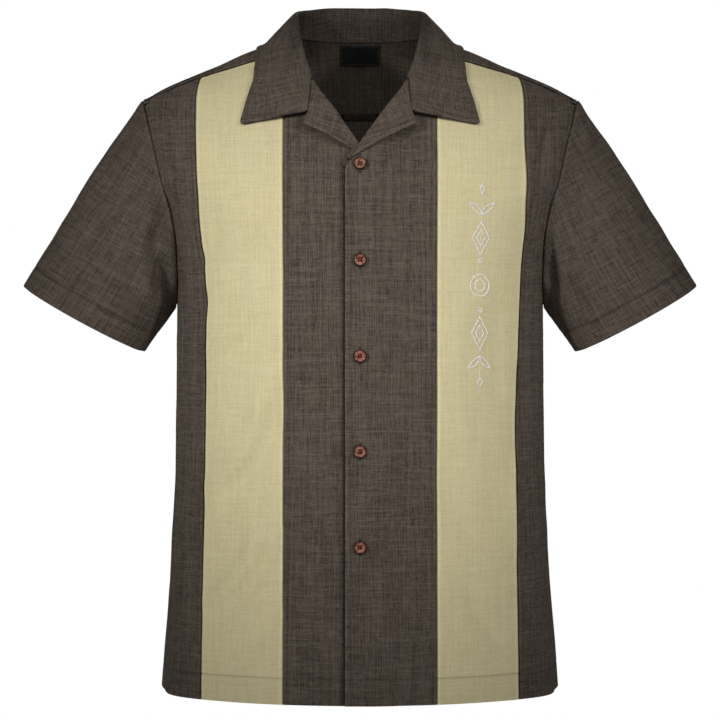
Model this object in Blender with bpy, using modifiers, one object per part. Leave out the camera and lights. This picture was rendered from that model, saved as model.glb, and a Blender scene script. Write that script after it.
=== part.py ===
"""A short-sleeved bowling shirt, size M, buttoned and filled out as if it were worn.

Metres, +Z up. The shirt faces -Y and the wearer's left is +X. The origin lies on the centre
plane at the level of the shoulders' neck points, where the wearer's shoulders carry the shirt.

The body form is a stack of rings, each a half ellipse in front and another behind. Every panel
is an open surface laid on that form in cloth lengths, then given the thickness of its cloth.
Left and right below are the wearer's.
"""

import math

import bmesh
import bpy
import numpy as np
from mathutils import Matrix, Vector

# Cloth and seams
CLOTH = 0.0015  # one wall of shirting, with its turnings
COLLAR_CLOTH = 0.0020  # two layers and interlining
LAPEL_CLOTH = 0.0018
SEAM_GAP = 0.0003  # between the edges of two pieces
ARMHOLE_GAP = 0.0005
HEM_DEPTH = 0.028
HEM_TURNING = 0.0012  # what the turned-up hem adds inside
CUFF_DEPTH = 0.024

# Body
HEM_HEIGHT = -0.727
UNDERARM_HEIGHT = -0.300
OVERLAP = 0.016  # each front edge passes the centre line by this much
PANEL_INNER_SEAM = 0.083  # cloth length from the centre line to the contrast panel
PANEL_WIDTH = 0.1005
BODY_COLUMNS = ("height", "half_width", "front_depth", "back_depth")
BODY_ROWS = (
    (-0.727, 0.2228, 0.1510, 0.1240),
    (-0.685, 0.2197, 0.1485, 0.1210),
    (-0.638, 0.2159, 0.1465, 0.1180),
    (-0.555, 0.2103, 0.1435, 0.1140),
    (-0.470, 0.2063, 0.1425, 0.1125),
    (-0.360, 0.2050, 0.1445, 0.1170),
    (-0.300, 0.2045, 0.1460, 0.1210),
    (-0.275, 0.2055, 0.1455, 0.1225),
    (-0.240, 0.2135, 0.1440, 0.1240),
    (-0.196, 0.2320, 0.1380, 0.1240),
    (-0.163, 0.2480, 0.1295, 0.1215),
    (-0.105, 0.2560, 0.1070, 0.1150),
    (-0.077, 0.2478, 0.0930, 0.1090),
    (-0.0705, 0.2417, 0.0892, 0.1070),
    (-0.058, 0.2215, 0.0822, 0.1026),
    (-0.030, 0.1563, 0.0660, 0.0930),
    (-0.0128, 0.1166, 0.0563, 0.0860),
    (-0.009, 0.1005, 0.0540, 0.0846),
    (0.000, 0.0835, 0.0495, 0.0802),
    (0.006, 0.0720, 0.0440, 0.0755),
    (0.012, 0.0600, 0.0370, 0.0690),
)

# Front opening: the roll line of the lapel, then the neckline up to the yoke
BREAK_HEIGHT = -0.150
GORGE_HEIGHT = -0.060
# distance of the roll from the centre plane, how far the front's cut edge stays behind it, how far
# the front stands off the body form there, and how much more the left one does, over the right lapel
ROLL_COLUMNS = ("height", "distance", "setback", "lift", "over")
ROLL_ROWS = (
    (-0.200, -0.0160, 0.0000, 0.0000, 0.0000),
    (-0.156, -0.0160, 0.0000, 0.0010, 0.0014),
    (-0.148, -0.0131, 0.0024, 0.0017, 0.0020),
    (-0.130, -0.0002, 0.0026, 0.0040, 0.0024),
    (-0.095, 0.0248, 0.0026, 0.0080, 0.0012),
    (-0.060, 0.0495, 0.0024, 0.0090, 0.0000),
    (-0.046, 0.0545, 0.0024, 0.0070, 0.0000),
    (-0.033, 0.0590, 0.0024, 0.0040, 0.0000),
    (-0.020, 0.0640, 0.0024, 0.0004, 0.0000),
)
ROLL_REACH = 0.055  # how far from the roll line the front is still lifted
ROLL_RADIUS = 0.0022  # the lapel wraps the front's cut edge
OVERLAP_LIFT = 0.0024  # the left front lies on the right one
OVERLAP_REACH = 0.034

# Yoke: a straight seam in plan in front of the shoulder, and a curved one across the back
YOKE_FRONT_NECK = (0.066, -0.052)
YOKE_BACK_HEIGHT = -0.0805
YOKE_BACK_DROP = 0.038  # how much lower the back seam is at the armhole
YOKE_BACK_REACH = 0.234
NECKLINE_PLAN = (  # half of the neckline on the yoke, seen from above
    (0.066, -0.052),
    (0.0715, -0.038),
    (0.0755, -0.020),
    (0.0770, 0.000),
    (0.0730, 0.023),
    (0.0635, 0.0430),
    (0.0495, 0.0590),
    (0.0270, 0.0725),
    (0.0000, 0.0772),
)

# Armholes
ARMHOLE_COLUMNS = ("height", "front", "back")  # how far out the armhole is, by height
ARMHOLE_ROWS = (
    (-0.300, 0.2045, 0.2045),
    (-0.275, 0.2015, 0.2040),
    (-0.240, 0.2015, 0.2080),
    (-0.196, 0.2070, 0.2160),
    (-0.163, 0.2175, 0.2240),
    (-0.118, 0.2285, 0.2340),
    (-0.105, 0.2320, 0.2360),
    (-0.077, 0.2390, 0.2400),
    (-0.0705, 0.2417, 0.2417),
)
TIP_HEIGHT = -0.077  # where the yoke's front seam meets the armhole
CREST_HEIGHT = -0.0705

# Sleeves
CUFF_OUTER = Vector((0.3754, -0.010, -0.2766))
CUFF_INNER = Vector((0.2400, -0.006, -0.3507))
CUFF_HALF_DEPTH = 0.060
SLEEVE_FALL = Vector((0.53, -0.02, -0.848))

# Collar sections from the centre back: a share of the yoke's neckline, or a height on the front's
# edge; then the corner that the fold rounds off and the outer edge
YOKE_NECK_SHARES = (0.0, 0.15, 0.308, 0.37, 0.43, 0.49, 0.54)
COLLAR_ROWS = (
    (0.000, (0.0000, 0.0860, 0.0470), (0.000, 0.0985, -0.0080)),
    (0.158, (0.0300, 0.0805, 0.0462), (0.036, 0.0930, -0.0085)),
    (0.307, (0.0530, 0.0620, 0.0415), (0.067, 0.0735, -0.0090)),
    (0.484, (0.0655, 0.0340, 0.0360), (0.094, 0.0480, -0.0115)),
    (0.670, (0.0690, 0.0090, 0.0300), (0.109, 0.0090, -0.0105)),
    (0.740, (0.0684, -0.0030, 0.0255), (0.112, -0.0160, -0.0160)),
    (0.810, (0.0672, -0.0150, 0.0195), (0.114, -0.0400, -0.0275)),
    (0.915, (0.0650, -0.0360, 0.0050), (0.117, -0.0700, -0.0530)),
    (1.000, (0.0615, -0.0560, -0.0130), (0.121, -0.0790, -0.0680)),
    (-0.034, (0.0580, -0.0740, -0.0310), (0.126, -0.0880, -0.0860)),
    (-0.0598, None, (0.131, -0.0960, -0.1054)),
)
COLLAR_ROLL = 0.0030  # radius of the fold's outside
COLLAR_BELLY = 0.0008
COLLAR_STANDOFF = 0.0027  # visible face of the leaf above the body form
GORGE = (  # the collar and lapel's seam and the lapel's end: across, up and stand-off
    (0.0535, -0.0785, 0.0112),
    (0.0560, -0.0958, 0.0112),
    (0.0610, -0.1093, 0.0120),
)
LAPEL_EDGE = (  # from the break to the tip: across, up and stand-off of the visible face
    (-0.0135, -0.1485, 0.0062),
    (0.0054, -0.1375, 0.0085),
    (0.0219, -0.1285, 0.0105),
    (0.0418, -0.1185, 0.0120),
    (0.0610, -0.1093, 0.0120),
)
LEFT_LAPEL_START = 0.02
RIGHT_LAPEL_START = 0.12  # the right lapel's tail is hidden by the left front
RIGHT_LAPEL_TUCK = 0.22

# Buttons and label
BUTTON_COUNT = 5
TOP_BUTTON_HEIGHT = -0.152
BUTTON_SPACING = 0.1018
BUTTON_RADIUS = 0.0070
BUTTON_REST = 0.0005  # from the cloth to the button's back
BUTTON_HOLE_RADIUS = 0.0009
BUTTON_HOLE_PLACE = 0.0019
BUTTON_PROFILE = (  # radius and height, down the outside from the middle of the top
    (0.0000, 0.0021),
    (0.0040, 0.0021),
    (0.0050, 0.0029),
    (0.0062, 0.0030),
    (0.0070, 0.0020),
    (0.0066, 0.0008),
    (0.0040, 0.0000),
    (0.0000, 0.0000),
)
LABEL_HALF_WIDTH = 0.023
LABEL_TOP = 0.0030
LABEL_BOTTOM = -0.0195
LABEL_CLOTH = 0.0010

# Back pleat
PLEAT_SHARE = 0.080  # of the back's half width
PLEAT_SEAM_RISE = 0.0006
PLEAT_RISE = 0.0038
PLEAT_FULL = 0.035  # below the yoke seam, where the pleat stands highest
PLEAT_END = -0.500  # the pleat has opened out by this height

# Soft folds that hang from the chest and the shoulder blades
FOLD_COLUMNS = ("angle", "width", "depth", "top")  # degrees round from the front, then metres
FOLD_ROWS = (
    (62, 13, 0.0040, -0.360),
    (84, 11, -0.0045, -0.420),
    (104, 12, 0.0050, -0.400),
    (128, 13, -0.0050, -0.330),
    (152, 12, 0.0050, -0.300),
    (170, 8, -0.0030, -0.350),
)

BROWN = (0.095, 0.080, 0.070)
SAGE = (0.565, 0.530, 0.330)
MATERIALS = {  # colour, roughness
    "brown_cloth": (BROWN, 0.85),
    "sage_cloth": (SAGE, 0.85),
    "button": ((0.260, 0.090, 0.055), 0.35),
    "label": ((0.010, 0.010, 0.011), 0.60),
}


def table(columns, rows):
    """A dict of arrays, one for each named column."""
    return {name: np.array([row[i] for row in rows], float) for i, name in enumerate(columns)}


def smooth(at, values, x):
    """A cubic through a table's rows that never overshoots them."""
    step = np.diff(at)
    rise = np.diff(values) / step
    slope = np.empty(len(at))
    slope[0], slope[-1] = rise[0], rise[-1]
    for i in range(1, len(at) - 1):
        if rise[i - 1] * rise[i] <= 0:
            slope[i] = 0.0
        else:
            near, far = 2 * step[i] + step[i - 1], step[i] + 2 * step[i - 1]
            slope[i] = (near + far) / (near / rise[i - 1] + far / rise[i])
    i = int(np.clip(np.searchsorted(at, x) - 1, 0, len(at) - 2))
    t = float(np.clip((x - at[i]) / step[i], 0, 1))
    return float(
        values[i] * (1 + 2 * t) * (1 - t) ** 2
        + values[i + 1] * t * t * (3 - 2 * t)
        + step[i] * (slope[i] * t * (1 - t) ** 2 - slope[i + 1] * t * t * (1 - t))
    )


def ease(t):
    """0 to 1 with level ends."""
    t = min(max(t, 0.0), 1.0)
    return t * t * (3 - 2 * t)


def mix(a, b, t):
    return a + (b - a) * t


BODY = table(BODY_COLUMNS, BODY_ROWS)
ROLL = table(ROLL_COLUMNS, ROLL_ROWS)
ARMHOLE = table(ARMHOLE_COLUMNS, ARMHOLE_ROWS)
FOLDS = table(FOLD_COLUMNS, FOLD_ROWS)


def body(column, height):
    return smooth(BODY["height"], BODY[column], height)


def depth_column(y):
    return "back_depth" if y > 0 else "front_depth"


def outward(point):
    """Unit normal of the body form at a point on it or near it."""
    x, y, z = point
    reach = 0.002
    wide, deep = body("half_width", z), body(depth_column(y), z)
    widen = (body("half_width", z + reach) - body("half_width", z - reach)) / (2 * reach)
    deepen = (body(depth_column(y), z + reach) - body(depth_column(y), z - reach)) / (2 * reach)
    up = x * x * widen / wide**3 + y * y * deepen / deep**3
    return Vector((x / wide**2, y / deep**2, -up)).normalized()


def on_ring(length, height, behind):
    """(across, depth) at a cloth length from the centre line round the ring at that height."""
    wide = body("half_width", height)
    deep = body("back_depth" if behind else "front_depth", height)
    angle = np.linspace(0, math.pi / 2, 121)
    middle = (angle[1:] + angle[:-1]) / 2
    pieces = np.hypot(wide * np.cos(middle), deep * np.sin(middle)) * (angle[1] - angle[0])
    along = np.concatenate([[0], np.cumsum(pieces)])
    turn = math.copysign(np.interp(abs(length), along, angle), length)
    return wide * math.sin(turn), deep * math.cos(turn) * (1 if behind else -1)


def ring_length(height, across, behind):
    """Cloth length from the centre line to the point that far across."""
    wide = body("half_width", height)
    deep = body("back_depth" if behind else "front_depth", height)
    turn = np.linspace(0, math.asin(min(across / wide, 1.0)), 121)
    middle = (turn[1:] + turn[:-1]) / 2
    return float((np.hypot(wide * np.cos(middle), deep * np.sin(middle)) * (turn[1] - turn[0])).sum())


def fold_depth(x, y, height):
    """How far the hanging folds move the cloth out or in. They grow towards the hem."""
    angle = math.degrees(math.atan2(abs(x) / body("half_width", height), -y / body(depth_column(y), height)))
    moved = 0.0
    for place, width, depth, top in zip(FOLDS["angle"], FOLDS["width"], FOLDS["depth"], FOLDS["top"]):
        grown = ease((top - height) / (top - HEM_HEIGHT))
        moved += depth * grown * math.exp(-(((angle - place) / width) ** 2))
    return moved


def roll(column, height):
    """The front edge: its distance from the centre plane, or how far it is lifted."""
    return smooth(ROLL["height"], ROLL[column], height)


def front_lift(side, x, height):
    """How far a front stands off the body form, at x towards its own side."""
    near = 1 - ease((x - roll("distance", height)) / ROLL_REACH)
    lift = roll("lift", height) * near
    if side > 0:
        hem = HEM_TURNING * (1 - ease((height - HEM_HEIGHT - HEM_DEPTH) / 0.020))
        over = OVERLAP_LIFT + hem + roll("over", height)
        lift += over * (1 - ease((x - OVERLAP) / OVERLAP_REACH))
    return lift


def mirrored(side, point):
    return Vector((side * point.x, point.y, point.z))


def front_point(side, length, height):
    """A point of a front's outer face, with x towards its own side."""
    x, y = on_ring(length, height, False)
    flat = Vector((x, y, height))
    return flat + outward(flat) * (front_lift(side, x, height) + fold_depth(x, y, height))


def back_point(length, height, share):
    """A point of the back's outer face. The share is of its half width; the pleat is by it."""
    x, y = on_ring(length, height, True)
    flat = Vector((x, y, height))
    lift = fold_depth(x, y, height)
    if share <= PLEAT_SHARE:
        top = back_top_height(x)
        rise = mix(PLEAT_SEAM_RISE, PLEAT_RISE, ease((top - height) / PLEAT_FULL))
        lift += rise * (1 - ease((top - PLEAT_FULL - height) / (top - PLEAT_FULL - PLEAT_END)))
    return flat + outward(flat) * lift


def top_of_form(x, y):
    """Height of the body form's upper side at a place seen from above."""
    low, high = -0.125, 0.012
    for _ in range(40):
        middle = (low + high) / 2
        size = (x / body("half_width", middle)) ** 2 + (y / body(depth_column(y), middle)) ** 2
        low, high = (middle, high) if size < 1 else (low, middle)
    return (low + high) / 2


def armhole_point(height, behind):
    """A point of the left armhole."""
    x = smooth(ARMHOLE["height"], ARMHOLE["back" if behind else "front"], height)
    wide = body("half_width", height)
    deep = body("back_depth" if behind else "front_depth", height)
    y = deep * math.sqrt(max(0.0, 1 - (x / wide) ** 2))
    return Vector((x, y if behind else -y, height))


def armhole_length(height, behind):
    """Cloth length from the centre line to the side seam or the armhole."""
    if height < UNDERARM_HEIGHT:
        return ring_length(height, body("half_width", height), behind)
    top = YOKE_BACK_HEIGHT - YOKE_BACK_DROP if behind else TIP_HEIGHT
    height = min(height, top)
    return ring_length(height, armhole_point(height, behind).x, behind)


YOKE_TIP = armhole_point(TIP_HEIGHT, False)


def yoke_front_y(x):
    x0, y0 = YOKE_FRONT_NECK
    return mix(y0, YOKE_TIP.y, (x - x0) / (YOKE_TIP.x - x0))


def front_top_height(left_edge, right_edge, share):
    """Height of the yoke seam at that share of the way between two edges of the front."""
    low, high = -0.110, 0.0
    for _ in range(40):
        middle = (low + high) / 2
        x, y = on_ring(mix(left_edge(middle), right_edge(middle), share), middle, False)
        low, high = (middle, high) if y < yoke_front_y(x) else (low, middle)
    return (low + high) / 2


def back_top_height(x):
    return YOKE_BACK_HEIGHT - YOKE_BACK_DROP * (x / YOKE_BACK_REACH) ** 2


def back_top_at(length):
    """Height of the back's top edge at a cloth length."""
    low, high = -0.140, -0.060
    for _ in range(40):
        middle = (low + high) / 2
        x, _ = on_ring(length, middle, True)
        low, high = (middle, high) if middle < back_top_height(x) else (low, middle)
    return (low + high) / 2


# Rows of points that neighbouring pieces share along the armhole
CENTRE_HEIGHTS = np.array(
    [-0.255, -0.215, -0.180, -0.156, -0.148, -0.139, -0.130, -0.118, -0.106, -0.095]
    + [-0.083, -0.071, -0.060, -0.051, -0.042, -0.033, -0.0205]
)
FRONT_ARM_HEIGHTS = np.linspace(UNDERARM_HEIGHT, TIP_HEIGHT, 10)
BACK_ARM_HEIGHTS = np.linspace(YOKE_BACK_HEIGHT - YOKE_BACK_DROP, UNDERARM_HEIGHT, 8)
SIDE_HEIGHTS = np.concatenate(
    [
        [HEM_HEIGHT, HEM_HEIGHT + HEM_DEPTH, HEM_HEIGHT + HEM_DEPTH + 0.003],
        np.linspace(-0.660, UNDERARM_HEIGHT, 10),
    ]
)


def yoke_arm_points():
    """The armhole over the shoulder, from the yoke's front seam to its back seam."""
    back_end = armhole_point(YOKE_BACK_HEIGHT - YOKE_BACK_DROP, True)
    return [
        armhole_point(TIP_HEIGHT, False),
        armhole_point(-0.0722, False),
        armhole_point(CREST_HEIGHT, False),
        armhole_point(-0.0735, True),
        armhole_point(-0.0850, True),
        armhole_point(-0.1000, True),
        back_end,
    ]


def finish_mesh(name, form, material, smooth_angle=35):
    """An object in the shirt's collection from a closed bmesh."""
    bmesh.ops.recalc_face_normals(form, faces=form.faces[:])
    mesh = bpy.data.meshes.new(name)
    form.to_mesh(mesh)
    form.free()
    mesh.shade_smooth()
    mesh.set_sharp_from_angle(angle=math.radians(smooth_angle))
    mesh.materials.append(bpy.data.materials[material])
    made = bpy.data.objects.new(name, mesh)
    SHIRT.objects.link(made)
    return made


def thicken(form, depth_at, normal_at):
    """Turns an open surface into a wall by moving a copy of it inwards."""
    made = bmesh.ops.extrude_face_region(form, geom=form.faces[:])["geom"]
    moved = [(v, v.co.copy()) for v in made if isinstance(v, bmesh.types.BMVert)]
    for vertex, place in moved:
        vertex.co = place - normal_at(place) * depth_at(place)


def grid(columns, rows, place):
    """A grid surface whose vertex (i, j) is put at place(i, j)."""
    form = bmesh.new()
    bmesh.ops.create_grid(form, x_segments=columns, y_segments=rows, size=1)
    form.verts.ensure_lookup_table()
    for j in range(rows + 1):
        for i in range(columns + 1):
            form.verts[j * (columns + 1) + i].co = place(i, j)
    return form


def body_wall_depth(point):
    hem = point.z < HEM_HEIGHT + HEM_DEPTH + 0.001
    return CLOTH + (HEM_TURNING if hem else 0.0)


def front_panel(name, side, material, columns, heights, left_edge, right_edge):
    """One vertical piece of a front. The edges give cloth lengths by height."""
    tops = [front_top_height(left_edge, right_edge, i / columns) for i in range(columns + 1)]
    shares = (heights - HEM_HEIGHT) / (heights[-1] - HEM_HEIGHT)

    def place(i, j):
        top = tops[i] - SEAM_GAP / 2
        height = HEM_HEIGHT + shares[j] * (top - HEM_HEIGHT)
        start = left_edge(height) + SEAM_GAP / 2
        end = right_edge(height) - SEAM_GAP / 2
        return mirrored(side, front_point(side, mix(start, end, i / columns), height))

    form = grid(columns, len(shares) - 1, place)
    thicken(form, body_wall_depth, outward)
    return finish_mesh(name, form, material)


def front_edge_length(height):
    """Cloth length of the front's own edge, which is just behind the roll line above the break."""
    distance = roll("distance", height) + roll("setback", height)
    return math.copysign(ring_length(height, abs(distance), False), distance)


def make_fronts():
    inner = PANEL_INNER_SEAM
    outer = PANEL_INNER_SEAM + PANEL_WIDTH
    centre_heights = np.concatenate([SIDE_HEIGHTS, CENTRE_HEIGHTS])
    heights = np.concatenate([SIDE_HEIGHTS, FRONT_ARM_HEIGHTS[1:]])
    for side, word in ((1, "left"), (-1, "right")):
        front_panel(
            f"{word}_centre_front",
            side,
            "brown_cloth",
            5,
            centre_heights,
            front_edge_length,
            lambda height: inner,
        )
        front_panel(
            f"{word}_contrast_panel",
            side,
            "sage_cloth",
            4,
            heights,
            lambda height: inner,
            lambda height: outer,
        )
        front_panel(
            f"{word}_side_front",
            side,
            "brown_cloth",
            3,
            heights,
            lambda height: outer,
            lambda height: armhole_length(height, False),
        )


BACK_SHARES = np.array([0, 0.042, 0.078, 0.088, 0.16, 0.26, 0.37, 0.48, 0.59, 0.70, 0.81, 0.91, 1.0])


def make_back():
    """The back below the yoke, with a box pleat in the middle."""
    half = len(BACK_SHARES) - 1
    heights = np.concatenate([SIDE_HEIGHTS, BACK_ARM_HEIGHTS[::-1][1:]])
    arm_top = BACK_ARM_HEIGHTS[0]
    shares = (heights - HEM_HEIGHT) / (arm_top - HEM_HEIGHT)
    reach = armhole_length(arm_top, True)
    tops = [back_top_at(reach * share) for share in BACK_SHARES]

    def place(i, j):
        share = BACK_SHARES[abs(i - half)]
        top = tops[abs(i - half)] - SEAM_GAP / 2
        height = HEM_HEIGHT + shares[j] * (top - HEM_HEIGHT)
        length = share * (armhole_length(height, True) - SEAM_GAP / 2)
        point = back_point(length, height, share)
        return Vector((math.copysign(point.x, i - half) if i != half else 0.0, point.y, point.z))

    form = grid(2 * half, len(shares) - 1, place)
    thicken(form, body_wall_depth, outward)
    return finish_mesh("back", form, "brown_cloth")


def spread_along(points, shares):
    """Points at those shares of a line's length."""
    steps = [0.0]
    for a, b in zip(points, points[1:]):
        steps.append(steps[-1] + (b - a).length)
    found = []
    for share in shares:
        want = share * steps[-1]
        i = min(max(int(np.searchsorted(steps, want)) - 1, 0), len(points) - 2)
        found.append(points[i].lerp(points[i + 1], (want - steps[i]) / (steps[i + 1] - steps[i])))
    return found


def neckline_plan():
    """Half of the neckline on the yoke from its front end, seen from above, as a fine line."""
    rows = [Vector((x, y, 0.0)) for x, y in NECKLINE_PLAN]
    ends = [rows[0] * 2 - rows[1], Vector((-rows[-2].x, rows[-2].y, 0.0))]
    rows = ends[:1] + rows + ends[1:]
    fine = []
    for a, b, c, d in zip(rows, rows[1:], rows[2:], rows[3:]):
        for t in np.linspace(0, 1, 9)[:-1]:
            bend = (c - a) * (t - 2 * t**2 + t**3) + (b - d) * (t**2 - t**3)
            fine.append(b * (1 - 3 * t**2 + 2 * t**3) + c * (3 * t**2 - 2 * t**3) + bend * 0.5)
    return fine + rows[-2:-1]


def make_yoke():
    """The yoke runs from the front seams over both shoulders to the back seam."""
    arm = yoke_arm_points()
    reach = armhole_length(BACK_ARM_HEIGHTS[0], True)
    seam = []
    for share in BACK_SHARES[::-1][1:]:
        height = back_top_at(reach * share)
        x, y = on_ring(reach * share, height, True)
        seam.append(Vector((x, y, height)))
    outer = arm + seam
    turn = len(arm) - 1
    neck = neckline_plan()
    shares = np.concatenate([YOKE_NECK_SHARES, np.linspace(YOKE_NECK_SHARES[-1], 1, len(seam) + 1)[1:]])
    inner = spread_along(neck, shares)
    rows = 6
    last = len(outer) - 1
    gap = SEAM_GAP / 2

    def place(i, j):
        side = 1 if i <= last else -1
        k = i if i <= last else 2 * last - i
        share = j / rows
        plan = inner[k].lerp(outer[k], share)
        if k == 0:
            plan.y = yoke_front_y(plan.x) + 2 * gap
        if j < rows:
            point = Vector((plan.x, plan.y, top_of_form(plan.x, plan.y)))
        elif k < turn:
            point = outer[k] - Vector((gap, -gap if k == 0 else 0, 0))
        else:
            point = outer[k] + Vector((0, 0, gap))
        return Vector((side * point.x, point.y, point.z))

    form = grid(2 * last, rows, place)
    thicken(form, lambda point: CLOTH, outward)
    return finish_mesh("yoke", form, "brown_cloth")


def sleeve_ring():
    """The left armhole, once round from the crest by the front: points and shares round."""
    over = yoke_arm_points()
    crest = 2
    front = [armhole_point(h, False) for h in FRONT_ARM_HEIGHTS[::-1][1:]]
    back = [armhole_point(h, True) for h in BACK_ARM_HEIGHTS[::-1][1:-1]]
    points = over[crest::-1] + front + back + over[:crest:-1]
    under = crest + len(front)
    return points, under


def half_shares(points):
    steps = [0.0]
    for a, b in zip(points, points[1:]):
        steps.append(steps[-1] + (b - a).length)
    return [step / steps[-1] for step in steps]


def cuff_point(turn):
    """The sleeve's edge: 0 at the outer corner, a quarter in front, a half at the inner one."""
    centre = (CUFF_OUTER + CUFF_INNER) / 2
    across = (CUFF_OUTER - CUFF_INNER) / 2
    angle = 2 * math.pi * turn
    deep = Vector((0, -CUFF_HALF_DEPTH * math.sin(angle), -0.004 * math.sin(angle)))
    return centre + across * math.cos(angle) + deep


def make_sleeve(side, name):
    """A sleeve falls from its armhole to its cuff."""
    ring, under = sleeve_ring()
    count = len(ring)
    turns = [share / 2 for share in half_shares(ring[: under + 1])]
    turns += [0.5 + share / 2 for share in half_shares(ring[under:] + ring[:1])][1:-1]
    fall = SLEEVE_FALL.normalized()
    along = [0, 0.03, 0.09, 0.18, 0.29, 0.41, 0.53, 0.65, 0.77, 0.878, 0.892, 1.0]
    rows = len(along) - 1
    starts = []
    for k, point in enumerate(ring):
        loop = (ring[(k + 1) % count] - ring[k - 1]).normalized()
        away = loop.cross(outward(point)).normalized()
        away = -away if away.x < 0 or (abs(away.x) < 0.3 and away.z < 0) else away
        near_top = 0.5 + 0.5 * math.cos(2 * math.pi * turns[k])
        starts.append((away * (0.42 * near_top) + fall * (1.0 - 0.42 * near_top)).normalized())

    def place(i, j):
        k = i % count
        t = along[j]
        start, end = ring[k] + starts[k] * ARMHOLE_GAP, cuff_point(turns[k])
        length = (end - start).length
        pull_start, pull_end = starts[k] * length * 0.95, fall * length * 0.95
        point = (
            start * (1 + 2 * t) * (1 - t) ** 2
            + end * t * t * (3 - 2 * t)
            + pull_start * t * (1 - t) ** 2
            - pull_end * t * t * (1 - t)
        )
        return Vector((side * point.x, point.y, point.z))

    form = grid(count, rows, place)
    bmesh.ops.remove_doubles(form, verts=form.verts[:], dist=1e-6)
    bmesh.ops.recalc_face_normals(form, faces=form.faces[:])
    form.normal_update()
    middle = Vector((side * 0.290, -0.008, -0.250))
    outside = sum(1 if f.normal.dot(f.calc_center_median() - middle) > 0 else -1 for f in form.faces)
    if outside < 0:
        bmesh.ops.reverse_faces(form, faces=form.faces[:])
        form.normal_update()
    normals = {}
    for vertex in form.verts:
        own = vertex.normal.copy()
        place_left = Vector((side * vertex.co.x, vertex.co.y, vertex.co.z))
        for k, point in enumerate(ring):
            if (point - place_left).length < 2 * ARMHOLE_GAP:
                near_top = ease((math.cos(2 * math.pi * turns[k]) - 0.15) / 0.5)
                of_body = outward(point)
                of_body.x *= side
                own = (own * (1 - near_top) + of_body * near_top).normalized()
        normals[tuple(vertex.co)] = own
    fall_side = Vector((side * fall.x, fall.y, fall.z))
    cuff_middle = (CUFF_OUTER + CUFF_INNER) / 2
    cuff_middle.x *= side

    def depth(point):
        hem = (point - cuff_middle).dot(fall_side) > -CUFF_DEPTH - 0.003
        return CLOTH + (HEM_TURNING if hem else 0.0)

    thicken(form, depth, lambda point: normals[tuple(point)])
    return finish_mesh(name, form, "brown_cloth")


def stand_off(x, height, distance):
    """A point that far off the front of the body form, with x towards its own side."""
    wide, deep = body("half_width", height), body("front_depth", height)
    flat = Vector((x, -deep * math.sqrt(max(0.0, 1 - (x / wide) ** 2)), height))
    return flat + outward(flat) * distance


def clear_of_form(point, distance):
    """Moves a point out, softly, until it stands at least that far off the body form."""
    size = math.hypot(
        point.x / body("half_width", point.z), point.y / body(depth_column(point.y), point.z)
    )
    away = Vector((point.x, point.y, 0.0))
    normal = outward(point)
    off = (1 - 1 / size) * away.dot(normal)
    soft = 0.001
    moved = soft * math.log1p(math.exp(min((distance - off) / soft, 40.0)))
    return point + normal * moved


def frame(at, before, after, normal):
    """A place on a neck edge, its outward normal, the way along and the way into the opening."""
    along = (after - before).normalized()
    normal = (normal - along * normal.dot(along)).normalized()
    opening = normal.cross(along)
    return at, normal, along, -opening if opening.x > 0 else opening


def front_frame(side, height):
    """The frame on a front's cut edge at a height; along is up."""
    at, before, after = (
        front_point(side, front_edge_length(h), h) for h in (height, height - 0.002, height + 0.002)
    )
    inner = front_point(side, front_edge_length(height) + 0.006, height)
    normal = (inner - at).cross(after - before).normalized()
    return frame(at, before, after, -normal if normal.y > 0 else normal)


def yoke_frame(share):
    """The frame on the yoke's neckline, at a share of the way from the centre back to the front."""
    line = neckline_plan()[::-1]
    place = []
    for nearby in (share - 0.01, share, share + 0.01):
        plan = spread_along(line, [abs(nearby)])[0]
        if nearby < 0:
            plan.x = -plan.x
        place.append(Vector((plan.x, plan.y, top_of_form(plan.x, plan.y))))
    at, normal, along, opening = frame(place[1], place[0], place[2], outward(place[1]))
    toward = Vector((-at.x, -at.y, 0.0))
    return at, normal, along, -opening if opening.dot(toward) < 0 else opening


def quarter_turn(start_angle, end_angle, steps):
    return [math.radians(mix(start_angle, end_angle, k / steps)) for k in range(steps + 1)]


def bent(start, control, end, share):
    """A point of the curve that leaves start towards control and arrives at end from it."""
    return start * (1 - share) ** 2 + control * (2 * share * (1 - share)) + end * share**2


COLLAR_LEAF = (0.06, 0.18, 0.34, 0.52, 0.70, 0.86, 1.0)
NOTCH_COLUMN = 3  # which of the leaf's points is the notch, at the collar's front end


def leaf_clearance(point):
    """How far the collar's visible face stands off the body form at least."""
    return COLLAR_STANDOFF + (front_lift(-1, point.x, point.z) if point.y < -0.03 else 0.0)


def collar_section(row):
    """The collar's visible face at a section: up the inside, over the fold, down to the edge."""
    station, fold, edge = row
    at, normal, _, opening = yoke_frame(station) if station >= 0 else front_frame(-1, station)
    fold, edge = Vector(fold), Vector(edge)
    up = (fold - at).normalized()
    beside = (up * opening.dot(up) - opening).normalized()
    clearance = 2 * SEAM_GAP + COLLAR_CLOTH * max(0.0, -beside.dot(opening))
    base = at + opening * clearance - normal * CLOTH
    up = (fold - base).normalized()
    fall = edge - fold
    away = (fall - up * fall.dot(up)).normalized()
    last = math.degrees(math.atan2(fall.dot(away), -fall.dot(up)))
    centre = fold - up * COLLAR_ROLL + away * COLLAR_ROLL
    points = [base, base.lerp(centre - away * COLLAR_ROLL, 0.5)]
    for angle in quarter_turn(180, last, 4):
        points.append(centre + (away * math.cos(angle) + up * math.sin(angle)) * COLLAR_ROLL)
    leaf = points[-1]
    out = fall.cross(Vector(((-fall.y, fall.x, 0.0)))).normalized()
    out = -out if out.dot(away) < 0 else out
    for share in COLLAR_LEAF:
        flat = leaf.lerp(edge, share) + out * (COLLAR_BELLY * math.sin(math.pi * share))
        points.append(clear_of_form(flat, leaf_clearance(flat)))
    return points


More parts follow.
